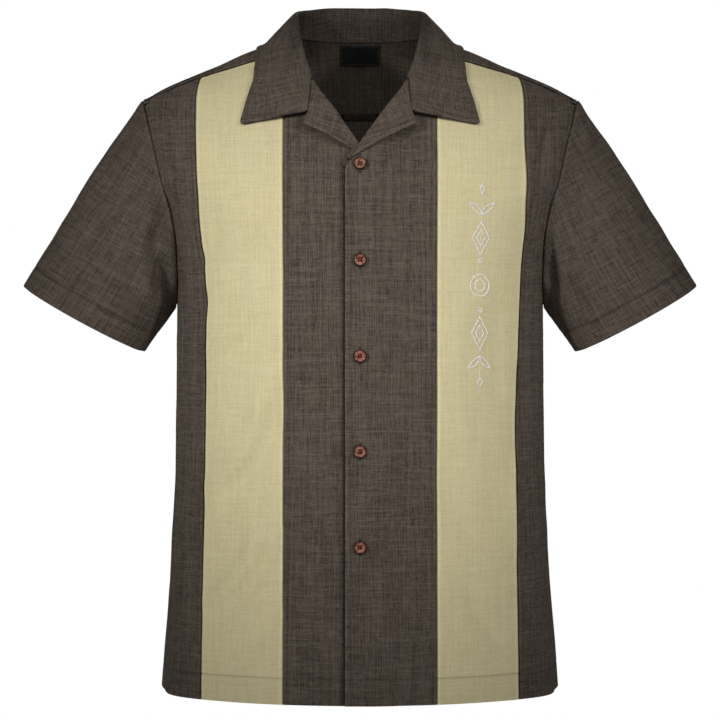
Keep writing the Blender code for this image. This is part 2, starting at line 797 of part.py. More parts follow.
def gorge_point(share):
    """The seam of collar and lapel, from the roll to the notch, and on to the lapel's tip at 2."""
    at, normal, _, opening = front_frame(-1, GORGE_HEIGHT)
    start = at + normal * (ROLL_RADIUS + SEAM_GAP) - opening * 0.0004
    middle, notch, tip = (stand_off(*place) for place in GORGE)
    if share > 1:
        return notch.lerp(tip, share - 1)
    return bent(start, middle * 2 - (start + notch) / 2, notch, share)


def roll_points(at, normal, opening):
    """How the lapel and the collar's end wrap the front's cut edge."""
    points = [at + opening * ROLL_RADIUS - normal * CLOTH]
    for angle in quarter_turn(0, 90, 3):
        points.append(at + (opening * math.cos(angle) + normal * math.sin(angle)) * ROLL_RADIUS)
    return points


def collar_end():
    """The collar's front end, over the roll, down the gorge and out along its front edge."""
    at, normal, _, opening = front_frame(-1, COLLAR_ROWS[-1][0])
    wrapped = roll_points(at, normal, opening)
    points = wrapped[:1] + [wrapped[0].lerp(wrapped[1], 0.5)] + wrapped[1:]
    points.append(gorge_point(0.04))
    edge = Vector(COLLAR_ROWS[-1][2])
    for k in range(len(COLLAR_LEAF)):
        if k <= NOTCH_COLUMN:
            points.append(gorge_point((k + 1) / (NOTCH_COLUMN + 1)))
        else:
            share = (k - NOTCH_COLUMN) / (len(COLLAR_LEAF) - 1 - NOTCH_COLUMN)
            flat = gorge_point(1).lerp(edge, share)
            points.append(clear_of_form(flat, leaf_clearance(flat)))
    return points


def between(before, first, second, after):
    """The section halfway between the first and the second, with the run of their neighbours."""
    return [
        (b + c) * 0.5625 - (a + d) * 0.0625 for a, b, c, d in zip(before, first, second, after)
    ]


def make_collar():
    sections = [collar_section(row) for row in COLLAR_ROWS[:-1]]
    end = collar_end()
    last = sections[-1]
    for share in (0.33, 0.67):
        middle = [a.lerp(b, share) for a, b in zip(last, end)]
        at, normal, _, opening = front_frame(-1, mix(COLLAR_ROWS[-2][0], COLLAR_ROWS[-1][0], share))
        middle[0] = at + opening * (4 * SEAM_GAP + COLLAR_CLOTH) - normal * CLOTH
        middle[1] = middle[0].lerp(middle[2], 0.5)
        for n in range(len(middle) - len(COLLAR_LEAF), len(middle)):
            middle[n] = clear_of_form(middle[n], leaf_clearance(middle[n]) - 0.0006)
        sections.append(middle)
    sections.append(end)
    finer = []
    for k, section in enumerate(sections[:-1]):
        finer.append(section)
        before = sections[k - 1] if k else [Vector((-p.x, p.y, p.z)) for p in sections[1]]
        if k < len(sections) - 4:
            halfway = between(before, section, sections[k + 1], sections[k + 2])
            for n in range(len(halfway) - len(COLLAR_LEAF), len(halfway)):
                halfway[n] = clear_of_form(halfway[n], leaf_clearance(halfway[n]))
            finer.append(halfway)
    finer.append(sections[-1])
    last_index = len(finer) - 1

    def place(i, j):
        point = finer[abs(i - last_index)][j]
        return mirrored(1 if i >= last_index else -1, point) if i != last_index else Vector(
            (0.0, point.y, point.z)
        )

    form = grid(2 * last_index, len(finer[0]) - 1, place)
    form.normal_update()
    if form.verts[last_index].normal.y > 0:
        bmesh.ops.reverse_faces(form, faces=form.faces[:])
        form.normal_update()
    normals = {tuple(v.co): v.normal.copy() for v in form.verts}
    thicken(form, lambda point: COLLAR_CLOTH, lambda point: normals[tuple(point)])
    return finish_mesh("collar", form, "brown_cloth")


def along_polyline(rows, share):
    place = share * (len(rows) - 1)
    i = min(int(place), len(rows) - 2)
    return [mix(a, b, place - i) for a, b in zip(rows[i], rows[i + 1])]


LAPEL_COLUMNS = (0.125, 0.25, 0.375, 0.5, 0.75, 1.0)


def make_lapel(side, name, start, tuck):
    """The turned-back top of a front: its facing wraps the front's edge and lies back on it.

    tuck is how far up the lapel is pressed flat under the other front.
    """
    rows = 10
    shift = gorge_point(1) - gorge_point(0)
    shift = Vector((shift.z, 0.0, -shift.x)).normalized() * (2 * SEAM_GAP)

    def place(i, j):
        share = mix(start, 1.0, j / rows)
        height = mix(BREAK_HEIGHT, GORGE_HEIGHT - SEAM_GAP, share)
        at, normal, _, opening = front_frame(side, height)
        wrapped = roll_points(at, normal, opening)
        if i < len(wrapped):
            return mirrored(side, wrapped[i])
        x1, z1, off = along_polyline(LAPEL_EDGE, share)
        least = front_lift(side, x1, z1) + ROLL_RADIUS
        off = mix(least, max(off + front_lift(side, x1, z1) * 0.3, least), ease((share - tuck) / 0.35))
        edge = stand_off(x1, z1, off)
        out = LAPEL_COLUMNS[i - len(wrapped)]
        top = wrapped[-1]
        control = top - opening * (0.35 * (edge - top).length)
        free = bent(top, control, edge, out)
        end = gorge_point(2 * out)
        bow = end - gorge_point(0).lerp(gorge_point(2), out)
        held = top.lerp(edge, out) + bow * share**2
        point = free.lerp(held, ease((share - 0.2) / 0.6))
        return mirrored(side, end + shift if j == rows else point)

    form = grid(3 + len(LAPEL_COLUMNS) + 1, rows, place)
    form.normal_update()
    if form.verts[-1].normal.y > 0:
        bmesh.ops.reverse_faces(form, faces=form.faces[:])
        form.normal_update()
    normals = {tuple(v.co): v.normal.copy() for v in form.verts}
    thicken(form, lambda point: LAPEL_CLOTH, lambda point: normals[tuple(point)])
    return finish_mesh(name, form, "brown_cloth")


def button_mesh():
    """One four-hole button, turned about +Z, its back at the origin."""
    outline = bpy.data.meshes.new("button_outline")
    points = [(r, 0.0, h) for r, h in BUTTON_PROFILE]
    outline.from_pydata(points, [(i, i + 1) for i in range(len(points) - 1)], [])
    turned = bpy.data.objects.new("button_turned", outline)
    CUTTERS.objects.link(turned)
    screw = turned.modifiers.new("turn", "SCREW")
    screw.steps = screw.render_steps = 20
    screw.use_merge_vertices = True
    screw.merge_threshold = 0.00005
    holes = bmesh.new()
    for k in range(4):
        angle = math.radians(45 + 90 * k)
        place = Vector((math.cos(angle), math.sin(angle), 0)) * BUTTON_HOLE_PLACE
        bmesh.ops.create_cone(
            holes,
            cap_ends=True,
            segments=8,
            radius1=BUTTON_HOLE_RADIUS,
            radius2=BUTTON_HOLE_RADIUS,
            depth=0.02,
            matrix=Matrix.Translation(place),
        )
    cutter_mesh = bpy.data.meshes.new("button_holes")
    holes.to_mesh(cutter_mesh)
    holes.free()
    cutter = bpy.data.objects.new("button_holes", cutter_mesh)
    CUTTERS.objects.link(cutter)
    cut = turned.modifiers.new("holes", "BOOLEAN")
    cut.operation = "DIFFERENCE"
    cut.object = cutter
    for helper in (turned, cutter):
        helper.hide_render = True
        helper.display_type = "WIRE"
    bpy.context.view_layer.update()
    graph = bpy.context.evaluated_depsgraph_get()
    made = bpy.data.meshes.new_from_object(turned.evaluated_get(graph))
    made.name = "button"
    for helper in (turned, cutter):
        bpy.data.objects.remove(helper)
    made.shade_smooth()
    made.set_sharp_from_angle(angle=math.radians(40))
    made.materials.clear()
    made.materials.append(bpy.data.materials["button"])
    return made


def make_buttons():
    mesh = button_mesh()
    reach = BUTTON_RADIUS
    for k in range(BUTTON_COUNT):
        height = TOP_BUTTON_HEIGHT - k * BUTTON_SPACING
        seat = front_point(1, 0.0, height)
        across = front_point(1, reach, height) - front_point(1, -reach, height)
        up = front_point(1, 0.0, height + reach) - front_point(1, 0.0, height - reach)
        facing = across.cross(up).normalized()
        made = bpy.data.objects.new(f"button_{k + 1}", mesh)
        made.location = seat + facing * BUTTON_REST
        made.rotation_mode = "QUATERNION"
        made.rotation_quaternion = facing.to_track_quat("Z", "Y")
        SHIRT.objects.link(made)


def make_label():
    """The woven label inside the back of the yoke, under the neck seam."""

    def place(i, j):
        x = mix(-LABEL_HALF_WIDTH, LABEL_HALF_WIDTH, i / 6)
        height = mix(LABEL_BOTTOM, LABEL_TOP, j / 4)
        wide, deep = body("half_width", height), body("back_depth", height)
        on_form = Vector((x, deep * math.sqrt(1 - (x / wide) ** 2), height))
        return on_form - outward(on_form) * (CLOTH + SEAM_GAP + 0.0003)

    form = grid(6, 4, place)
    thicken(form, lambda point: LABEL_CLOTH, outward)
    return finish_mesh("neck_label", form, "label")


def make_materials():
    for name, (colour, roughness) in MATERIALS.items():
        material = bpy.data.materials.new(name)
        material.use_nodes = True
        shader = material.node_tree.nodes["Principled BSDF"]
        shader.inputs["Base Color"].default_value = (*colour, 1.0)
        shader.inputs["Roughness"].default_value = roughness
        shader.inputs["Metallic"].default_value = 0.0


def new_collection(name):
    made = bpy.data.collections.new(name)
    bpy.context.scene.collection.children.link(made)
    return made


for old in list(bpy.data.objects):
    bpy.data.objects.remove(old)
SHIRT = new_collection("bowling_shirt")
CUTTERS = new_collection("cutters")
make_materials()
make_fronts()
make_back()
make_yoke()
make_sleeve(1, "left_sleeve")
make_sleeve(-1, "right_sleeve")
make_collar()
make_lapel(1, "left_lapel", LEFT_LAPEL_START, -0.35)
make_lapel(-1, "right_lapel", RIGHT_LAPEL_START, RIGHT_LAPEL_TUCK)
make_buttons()
make_label()
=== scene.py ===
"""The finished look of a short-sleeved bowling shirt, filled out as if it were worn.

Metres, +Z up; the shirt faces -Y and the wearer's left is +X. Each piece of cloth is a thin shell
on the form of its solid, with its creases, turned edges and topstitching, in a slub weave that
follows the cloth. Left and right are the wearer's.
"""

import math

import bmesh
import bpy
import numpy as np
from mathutils import Matrix, Vector


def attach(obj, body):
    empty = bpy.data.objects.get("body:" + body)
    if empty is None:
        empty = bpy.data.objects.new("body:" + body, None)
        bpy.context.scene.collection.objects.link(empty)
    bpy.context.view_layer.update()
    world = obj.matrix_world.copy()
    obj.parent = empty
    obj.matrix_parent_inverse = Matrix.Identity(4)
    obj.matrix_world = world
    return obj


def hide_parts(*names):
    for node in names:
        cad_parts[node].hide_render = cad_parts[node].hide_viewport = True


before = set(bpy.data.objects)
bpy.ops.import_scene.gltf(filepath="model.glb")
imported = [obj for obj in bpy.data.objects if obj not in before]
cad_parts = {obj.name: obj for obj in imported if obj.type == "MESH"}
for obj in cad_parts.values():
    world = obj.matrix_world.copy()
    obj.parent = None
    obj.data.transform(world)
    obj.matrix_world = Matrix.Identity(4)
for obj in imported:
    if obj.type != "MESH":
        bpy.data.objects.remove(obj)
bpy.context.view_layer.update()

# ------------------------------------------------------------
# Fronts. Each front is three strips of cloth sewn edge to edge: a brown centre front with the
# buttoning edge, a pale contrast panel and a brown side front. The body form under them is a
# stack of rings, each a half ellipse in front and another behind.
# ------------------------------------------------------------

HEM_HEIGHT = -0.727
HEM_DEPTH = 0.028
UNDERARM_HEIGHT = -0.3
OVERLAP = 0.016  # each front passes the centre line by this much
PANEL_INNER_SEAM = 0.083  # cloth length from the centre line
PANEL_OUTER_SEAM = 0.1835
SEAM_GAP = 0.0003
CLOTH = 0.0009  # one layer of shirting
HEM_CLOTH = 0.0024  # three layers
SEAM_LAP = 0.007  # how far a seam allowance lies under its neighbour
STITCH_FROM_SEAM = 0.005
STITCH_FROM_EDGE = 0.0062
STITCH_SHADE = 0.0011  # half width of the shade along a row of stitches
SEAM_SHADE = 0.0006  # half width of a seam's line of painted shade
PUCKER_PITCH = 0.0105
PUCKER_DEPTH = 0.00016
PUCKER_REACH = 0.0045
RIPPLE_DEPTH = 0.0003
STITCH_GROOVE = 0.00022

BODY_COLUMNS = ("height", "half_width", "front_depth", "back_depth")
BODY_ROWS = (
    (-0.727, 0.2228, 0.151, 0.124),
    (-0.685, 0.2197, 0.1485, 0.121),
    (-0.638, 0.2159, 0.1465, 0.118),
    (-0.555, 0.2103, 0.1435, 0.114),
    (-0.47, 0.2063, 0.1425, 0.1125),
    (-0.36, 0.205, 0.1445, 0.117),
    (-0.3, 0.2045, 0.146, 0.121),
    (-0.275, 0.2055, 0.1455, 0.1225),
    (-0.24, 0.2135, 0.144, 0.124),
    (-0.196, 0.232, 0.138, 0.124),
    (-0.163, 0.248, 0.1295, 0.1215),
    (-0.105, 0.256, 0.107, 0.115),
    (-0.077, 0.2478, 0.093, 0.109),
    (-0.0705, 0.2417, 0.0892, 0.107),
    (-0.058, 0.2215, 0.0822, 0.1026),
    (-0.03, 0.1563, 0.066, 0.093),
    (-0.0128, 0.1166, 0.0563, 0.086),
    (-0.009, 0.1005, 0.054, 0.0846),
    (0.0, 0.0835, 0.0495, 0.0802),
    (0.006, 0.072, 0.044, 0.0755),
    (0.012, 0.06, 0.037, 0.069),
)
# The roll line of the lapels: its distance from the centre plane, how far the front's edge stays
# behind it, how far the front stands off the form there, and how much more the left one does
ROLL_COLUMNS = ("height", "distance", "setback", "lift", "over")
ROLL_ROWS = (
    (-0.2, -0.016, 0.0, 0.0, 0.0),
    (-0.156, -0.016, 0.0, 0.001, 0.0014),
    (-0.148, -0.0131, 0.0024, 0.0017, 0.002),
    (-0.13, -0.0002, 0.0026, 0.004, 0.0024),
    (-0.095, 0.0248, 0.0026, 0.008, 0.0012),
    (-0.06, 0.0495, 0.0024, 0.009, 0.0),
    (-0.046, 0.0545, 0.0024, 0.007, 0.0),
    (-0.033, 0.059, 0.0024, 0.004, 0.0),
    (-0.02, 0.064, 0.0024, 0.0004, 0.0),
)
ROLL_REACH = 0.055
OVERLAP_LIFT = 0.0024
OVERLAP_REACH = 0.034
HEM_TURNING = 0.0012
ARC_STEPS = 60
HALVINGS = 26
CREASE_BOW = 0.1  # how far a crease bends, as a share of its length
CREASE_PAST = 0.18  # how far past its ends it fades out
CREASE_FADE = 0.42
YOKE_FRONT_NECK = (0.066, -0.052)
TIP_HEIGHT = -0.077  # where the yoke's front seam meets the armhole
ARMHOLE_COLUMNS = ("height", "front", "back")
ARMHOLE_ROWS = (
    (-0.3, 0.2045, 0.2045),
    (-0.275, 0.2015, 0.204),
    (-0.24, 0.2015, 0.208),
    (-0.196, 0.207, 0.216),
    (-0.163, 0.2175, 0.224),
    (-0.118, 0.2285, 0.234),
    (-0.105, 0.232, 0.236),
    (-0.077, 0.239, 0.24),
    (-0.0705, 0.2417, 0.2417),
)
# Soft folds that hang from the chest and the shoulder blades: degrees round from the front
FOLD_COLUMNS = ("angle", "width", "depth", "top")
FOLD_ROWS = (
    (62, 13, 0.004, -0.36),
    (84, 11, -0.0045, -0.42),
    (104, 12, 0.005, -0.4),
    (128, 13, -0.005, -0.33),
    (152, 12, 0.005, -0.3),
    (170, 8, -0.003, -0.35),
)
# Creases of the fronts as worn, seen from the front: both ends of each, its half width and its
# depth, which is below zero in a trough
FRONT_CREASES = (
    (-0.15, -0.266, -0.11, -0.216, 0.009, -0.0026),
    (-0.163, -0.352, -0.108, -0.263, 0.01, 0.0022),
    (-0.147, -0.362, -0.093, -0.273, 0.01, -0.003),
    (-0.163, -0.5, -0.103, -0.385, 0.0105, 0.0036),
    (-0.147, -0.51, -0.086, -0.395, 0.01, -0.005),
    (-0.165, -0.622, -0.105, -0.532, 0.0105, 0.0034),
    (-0.15, -0.632, -0.09, -0.542, 0.01, -0.0046),
    (-0.125, -0.668, -0.086, -0.625, 0.0085, -0.0032),
    (-0.182, -0.262, -0.15, -0.205, 0.008, -0.0024),
    (-0.196, -0.33, -0.166, -0.286, 0.008, -0.0022),
    (-0.03, -0.3, -0.052, -0.41, 0.012, -0.0014),
    (-0.024, -0.47, -0.046, -0.62, 0.012, -0.0016),
    (0.212, -0.098, 0.196, -0.184, 0.0062, -0.003),
    (0.2, -0.12, 0.186, -0.192, 0.007, 0.0014),
    (0.184, -0.262, 0.16, -0.2, 0.009, -0.0009),
    (0.159, -0.28, 0.16, -0.43, 0.012, -0.0014),
    (0.124, -0.28, 0.12, -0.47, 0.017, 0.0014),
    (0.092, -0.465, 0.128, -0.56, 0.013, -0.0016),
    (0.116, -0.59, 0.15, -0.665, 0.012, -0.0018),
    (0.04, -0.33, 0.058, -0.452, 0.013, -0.0012),
    (0.034, -0.52, 0.062, -0.64, 0.013, -0.0014),
    (0.176, -0.46, 0.188, -0.59, 0.01, 0.0018),
    (-0.182, -0.5, -0.19, -0.64, 0.01, 0.0024),
)


def table(columns, rows):
    """A dict of arrays, one for each named column."""
    return {name: np.array([row[i] for row in rows], float) for i, name in enumerate(columns)}


def smooth(at, values, x):
    """A cubic through a table's rows that never overshoots them."""
    step = np.diff(at)
    rise = np.diff(values) / step
    slope = np.empty(len(at))
    slope[0], slope[-1] = rise[0], rise[-1]
    for i in range(1, len(at) - 1):
        if rise[i - 1] * rise[i] <= 0:
            slope[i] = 0.0
        else:
            near, far = 2 * step[i] + step[i - 1], step[i] + 2 * step[i - 1]
            slope[i] = (near + far) / (near / rise[i - 1] + far / rise[i])
    i = np.clip(np.searchsorted(at, x) - 1, 0, len(at) - 2)
    t = np.clip((x - at[i]) / step[i], 0, 1)
    bend = slope[i] * t * (1 - t) ** 2 - slope[i + 1] * t * t * (1 - t)
    return values[i] * (1 + 2 * t) * (1 - t) ** 2 + values[i + 1] * t * t * (3 - 2 * t) + step[i] * bend


def ease(t):
    """0 to 1 with level ends."""
    t = np.clip(t, 0.0, 1.0)
    return t * t * (3 - 2 * t)


def mix(a, b, t):
    return a + (b - a) * t


BODY = table(BODY_COLUMNS, BODY_ROWS)
ROLL = table(ROLL_COLUMNS, ROLL_ROWS)
ARMHOLE = table(ARMHOLE_COLUMNS, ARMHOLE_ROWS)
FOLDS = table(FOLD_COLUMNS, FOLD_ROWS)


def body(column, height):
    """One column of the body form's table at a height."""
    return smooth(BODY["height"], BODY[column], height)


def depth_column(y):
    return "back_depth" if y > 0 else "front_depth"


def outward(point):
    """Unit normal of the body form at a point on it or near it."""
    x, y, z = point
    reach = 0.002
    wide, deep = body("half_width", z), body(depth_column(y), z)
    widen = (body("half_width", z + reach) - body("half_width", z - reach)) / (2 * reach)
    deepen = (body(depth_column(y), z + reach) - body(depth_column(y), z - reach)) / (2 * reach)
    up = x * x * widen / wide**3 + y * y * deepen / deep**3
    return Vector((x / wide**2, y / deep**2, -up)).normalized()


def ring_arc(height, behind, last):
    """Angles round a ring from the centre line up to the last one, and the lengths between."""
    wide, deep = body("half_width", height), body(depth_column(behind), height)
    angles = np.linspace(0, last, ARC_STEPS + 1)
    middle = (angles[1:] + angles[:-1]) / 2
    return angles, np.hypot(wide * np.cos(middle), deep * np.sin(middle)) * (angles[1] - angles[0])


def on_ring(length, height, behind):
    """(across, depth) at a cloth length from the centre line round the ring at that height."""
    angles, pieces = ring_arc(height, behind, math.pi / 2)
    turn = math.copysign(np.interp(abs(length), np.concatenate([[0], np.cumsum(pieces)]), angles), length)
    deep = body(depth_column(behind), height) * math.cos(turn)
    return body("half_width", height) * math.sin(turn), deep if behind else -deep


def ring_length(height, across, behind):
    """Cloth length from the centre line to the point that far across."""
    last = math.asin(min(across / body("half_width", height), 1.0))
    return float(ring_arc(height, behind, last)[1].sum())


def bell(distance, at, width):
    """1 where the distance is at, and softly down to 0 in about twice the width on both sides."""
    return np.exp(-(((distance - at) / width) ** 2))


def fold_depth(x, y, height):
    """How far the hanging folds move the cloth out or in. They grow towards the hem."""
    angle = math.degrees(math.atan2(abs(x) / body("half_width", height), -y / body(depth_column(y), height)))
    grown = ease((FOLDS["top"] - height) / (FOLDS["top"] - HEM_HEIGHT))
    return float((FOLDS["depth"] * grown * bell(angle, FOLDS["angle"], FOLDS["width"])).sum())


def roll(column, height):
    """One column of the roll line's table at a height."""
    return smooth(ROLL["height"], ROLL[column], height)


def front_lift(side, x, height):
    """How far a front stands off the body form, at x towards its own side."""
    lift = roll("lift", height) * (1 - ease((x - roll("distance", height)) / ROLL_REACH))
    if side > 0:
        hem = HEM_TURNING * (1 - ease((height - HEM_HEIGHT - HEM_DEPTH) / 0.02))
        over = OVERLAP_LIFT + hem + roll("over", height)
        lift += over * (1 - ease((x - OVERLAP) / OVERLAP_REACH))
    return lift


def front_point(side, length, height):
    """A point of a front's outer face, with x towards its own side."""
    x, y = on_ring(length, height, False)
    flat = Vector((x, y, height))
    return flat + outward(flat) * (front_lift(side, x, height) + fold_depth(x, y, height))


def on_form(x, height, behind):
    """The point of the body form that far across, in front or behind."""
    y = body(depth_column(behind), height) * math.sqrt(max(0.0, 1 - (x / body("half_width", height)) ** 2))
    return Vector((x, y if behind else -y, height))


def armhole_point(height, behind):
    """A point of the left armhole."""
    x = smooth(ARMHOLE["height"], ARMHOLE["back" if behind else "front"], height)
    return on_form(x, height, behind)


def armhole_length(height, behind, top):
    """Cloth length from the centre line to the side seam or the armhole."""
    if height < UNDERARM_HEIGHT:
        return ring_length(height, body("half_width", height), behind)
    height = min(height, top)
    return ring_length(height, armhole_point(height, behind).x, behind)


YOKE_TIP = armhole_point(TIP_HEIGHT, False)


def yoke_front_y(x):
    x0, y0 = YOKE_FRONT_NECK
    return mix(y0, YOKE_TIP.y, (x - x0) / (YOKE_TIP.x - x0))


def halved(low, high, is_above):
    """The place between low and high where is_above turns from false to true."""
    for _ in range(HALVINGS):
        middle = (low + high) / 2
        low, high = (low, middle) if is_above(middle) else (middle, high)
    return (low + high) / 2


def front_top_height(left_edge, right_edge, share):
    """Height of the yoke seam at that share of the way between two edges of the front."""

    def above(height):
        x, y = on_ring(mix(left_edge(height), right_edge(height), share), height, False)
        return y >= yoke_front_y(x)

    return halved(-0.11, 0.0, above)


def front_edge_length(height):
    """Cloth length of the front's own edge, which is just behind the roll line above the break."""
    distance = roll("distance", height) + roll("setback", height)
    return math.copysign(ring_length(height, abs(distance), False), distance)


def spread(control, along, up):
    """Points of the smooth surface through a grid of points, at places counted in its cells."""
    points = np.array(control, float)
    points = np.concatenate([2 * points[:1] - points[1:2], points, 2 * points[-1:] - points[-2:-1]])
    first, last = points[:, :1], points[:, -1:]
    points = np.concatenate([2 * first - points[:, 1:2], points, 2 * last - points[:, -2:-1]], axis=1)

    def taps(at, count):
        cell = np.clip(np.floor(at).astype(int), 0, count - 4)
        past = at - np.clip(at, 0, count - 3)
        t = at - cell - past
        weights = (
            -t / 2 + t**2 - t**3 / 2 - np.minimum(past, 0) / 2,
            1 - 2.5 * t**2 + 1.5 * t**3 - np.maximum(past, 0) / 2,
            t / 2 + 2 * t**2 - 1.5 * t**3 + np.minimum(past, 0) / 2,
            t**3 / 2 - t**2 / 2 + np.maximum(past, 0) / 2,
        )
        return cell, weights

    cell_a, weights_a = taps(along, points.shape[0])
    cell_b, weights_b = taps(up, points.shape[1])
    found = np.zeros(along.shape + (3,))
    for a, weight_a in enumerate(weights_a):
        for b, weight_b in enumerate(weights_b):
            found += points[cell_a + a, cell_b + b] * (weight_a * weight_b)[..., None]
    return found


def between_edges(start, end, near_start, near_end, step):
    """Places from one edge to the other: fixed distances at both edges and even steps between."""
    first = np.asarray(near_start)[:, None] + start
    last = end - np.asarray(near_end)[::-1][:, None]
    count = max(int(round(float(np.mean(last[0] - first[-1])) / step)), 1)
    inner = np.linspace(0, 1, count + 1)[1:-1][:, None]
    return np.concatenate([first, first[-1] * (1 - inner) + last[0] * inner, last])


def normals_of(points):
    """Unit normals of a grid of points."""
    found = np.cross(np.gradient(points, axis=0), np.gradient(points, axis=1))
    return found / np.maximum(np.linalg.norm(found, axis=2, keepdims=True), 1e-12)


def crease_relief(rows, x, z):
    """How far the creases move the cloth, at places seen square on."""
    moved = np.zeros(x.shape)
    for x1, z1, x2, z2, width, depth in rows:
        run_x, run_z = x2 - x1, z2 - z1
        length = math.hypot(run_x, run_z)
        share = ((x - x1) * run_x + (z - z1) * run_z) / length**2
        bow = CREASE_BOW * length * np.sin(np.pi * np.clip(share, 0, 1))
        off = ((x - x1) * run_z - (z - z1) * run_x) / length - bow
        ends = ease((share + CREASE_PAST) / CREASE_FADE) * ease((1 + CREASE_PAST - share) / CREASE_FADE)
        moved += depth * ends * bell(off, 0, width)
    return moved


def uneven(a, b, size, seed):
    """Soft unevenness between about -1 and 1, with swells of about the given size."""
    moved = np.zeros(np.broadcast(a, b).shape)
    for k in range(5):
        turn = seed * 2.399 + k * 1.257
        wave = 2 * np.pi / size * (0.6 + 0.23 * k)
        moved += np.sin((a * math.cos(turn) + b * math.sin(turn)) * wave + seed * 5.1 + k * 1.7)
    return moved / 3.2


def groove(distance, at, width, depth):
    return -depth * bell(distance, at, width)


def seam_edge(distance, along, lap, stitch, raised, seed):
    """Relief beside a seam: its turned edge, the row of stitches and the puckers they draw in.

    lap is below zero on the side that goes under its neighbour.
    """
    pucker = 0.5 + 0.5 * uneven(along, along * 0, 0.016, seed)
    pucker = pucker * np.sin(along * 2 * np.pi / PUCKER_PITCH + seed)
    pucker = pucker * PUCKER_DEPTH * np.exp(-np.abs(distance - stitch) / PUCKER_REACH)
    if lap < 0:
        turned = 0.00022 * bell(distance, 0.0026, 0.001)
        return lap * (1 - ease((distance + 0.0002) / 0.0022)) + turned + pucker
    moved = raised * (1 - ease((distance - stitch - 0.001) / 0.003))
    moved += groove(distance, stitch, 0.0009, STITCH_GROOVE) + groove(distance, 0, 0.0008, 0.00045)
    return moved + pucker


def hem_edge(distance, along, stitch, fold, wave, fade, seed):
    """Relief of a turned-up hem: its folded edge, its row of stitches and the ripples between."""
    ripple = np.sin(along * 2 * np.pi / wave + seed) * uneven(along, along * 0, 0.05, seed + 7)
    ripple = RIPPLE_DEPTH * ripple * (1 - ease(distance / fade))
    return groove(distance, 0, 0.001, fold) + groove(distance, stitch, 0.001, 0.00035) + ripple


def hem_wall(distance, stitch):
    """Thickness of the cloth beside a hem, by the distance from its fold."""
    return np.where(distance < stitch + 0.0005, HEM_CLOTH, CLOTH)


def seam_painted_light(distance, lap, stitch):
    """Painted shade in a seam's line and along its row of stitches, and a painted highlight on its turned
    edge.
    """
    dark = -0.62 * bell(np.maximum(distance, 0), 0, SEAM_SHADE)
    if lap < 0:
        return dark + 0.2 * bell(distance, 0.0022, 0.001)
    return 0.8 * dark - 0.16 * bell(distance, stitch, STITCH_SHADE) + 0.07 * bell(distance, 0.0026, 0.0013)


def in_scene(name, data):
    made = bpy.data.objects.new(name, data)
    bpy.context.scene.collection.objects.link(made)
    return made


def on_shirt(name, mesh, material):
    """A piece of the shirt's one body, with its material."""
    mesh.shade_smooth()
    mesh.materials.append(material)
    made = in_scene(name, mesh)
    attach(made, "root")
    return made


def cloth_piece(node, points, normals, edges, weave, wall, painted_light, cloth, name=None):
    """A shell of cloth in place of a node, from a grid of points.

    edges are the points' distances from the grid's four edges, weave their places on the flat cloth in metres
    and wall its thickness there. The argument after wall is painted shade and painted highlight: how much
    darker or lighter the colour is painted there, in place of shade and light.
    """
    slot, material = cloth
    form = bmesh.new()
    bmesh.ops.create_grid(form, x_segments=points.shape[0] - 1, y_segments=points.shape[1] - 1, size=1)
    mesh = bpy.data.meshes.new(name or f"cloth_{node}")
    form.to_mesh(mesh)
    form.free()
    mesh.vertices.foreach_set("co", points.transpose(1, 0, 2).astype(np.float32).ravel())
    corners = np.empty(len(mesh.loops), np.int32)
    mesh.loops.foreach_get("vertex_index", corners)
    places = mesh.uv_layers.new(name="weave")
    places.data.foreach_set("uv", weave.transpose(1, 0, 2).reshape(-1, 2)[corners].astype(np.float32).ravel())
    if (normals_of(points) * normals).sum() < 0:
        mesh.flip_normals()
    # painted shade and painted highlight, kept on the mesh for the cloth material to darken or lighten its
    # colour
    with_painted_light = mesh.attributes.new("painted_light", "FLOAT", "POINT")
    with_painted_light.data.foreach_set("value", (np.zeros(points.shape[:2]) + painted_light).T.astype(np.float32).ravel())
    made = on_shirt(mesh.name, mesh, material)
    wall = np.zeros(points.shape[:2]) + wall
    group = made.vertex_groups.new(name="wall")
    levels = np.round(wall.T.ravel() / wall.max(), 2)
    for level in np.unique(levels):
        group.add(np.flatnonzero(levels == level).tolist(), float(level), "REPLACE")
    shell = made.modifiers.new("wall", "SOLIDIFY")
    shell.thickness = float(wall.max())
    shell.offset = -1
    shell.vertex_group = "wall"
    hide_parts(node)
    return {"points": points, "normals": normals, "edges": edges}


def cut_size(weave):
    """Width, length and area of the flat cloth by its weave's places, in metres."""
    a, b = np.diff(weave, axis=0)[:, :-1], np.diff(weave, axis=1)[:-1]
    area = np.abs(a[..., 0] * b[..., 1] - a[..., 1] * b[..., 0]).sum()
    return (float(np.ptp(weave[..., 0])), float(np.ptp(weave[..., 1]))), float(area)


def feed(tree, node, inputs):
    """Gives a node's inputs their plain values or the outputs that feed them."""
    for name, value in inputs.items():
        if isinstance(value, bpy.types.NodeSocket):
            tree.links.new(value, node.inputs[name])
        else:
            node.inputs[name].default_value = value


def add_node(tree, kind, inputs=None, **settings):
    """A node with its settings, its plain values and the outputs that feed it."""
    made = tree.nodes.new(f"ShaderNode{kind}")
    for name, value in settings.items():
        setattr(made, name, value)
    feed(tree, made, inputs or {})
    return made


def sum_up(tree, kind, *values):
    return add_node(tree, "Math", dict(enumerate(values)), operation=kind).outputs[0]


def between(tree, value, low, high):
    inputs = {"Value": value, "From Min": low, "From Max": high}
    return add_node(tree, "MapRange", inputs, interpolation_type="SMOOTHSTEP").outputs[0]


def blended(tree, share, a, b):
    return add_node(tree, "Mix", {0: share, 6: a, 7: b}, data_type="RGBA").outputs[2]


def noise(tree, place, scale, detail=1.0, distortion=0.0, flat=False):
    inputs = {"Vector": place, "Scale": scale, "Detail": detail, "Distortion": distortion}
    return add_node(tree, "TexNoise", inputs, noise_dimensions="2D" if flat else "3D").outputs[0]


def bump(tree, height, strength, distance):
    inputs = {"Height": height, "Strength": strength, "Distance": distance}
    return add_node(tree, "Bump", inputs).outputs[0]


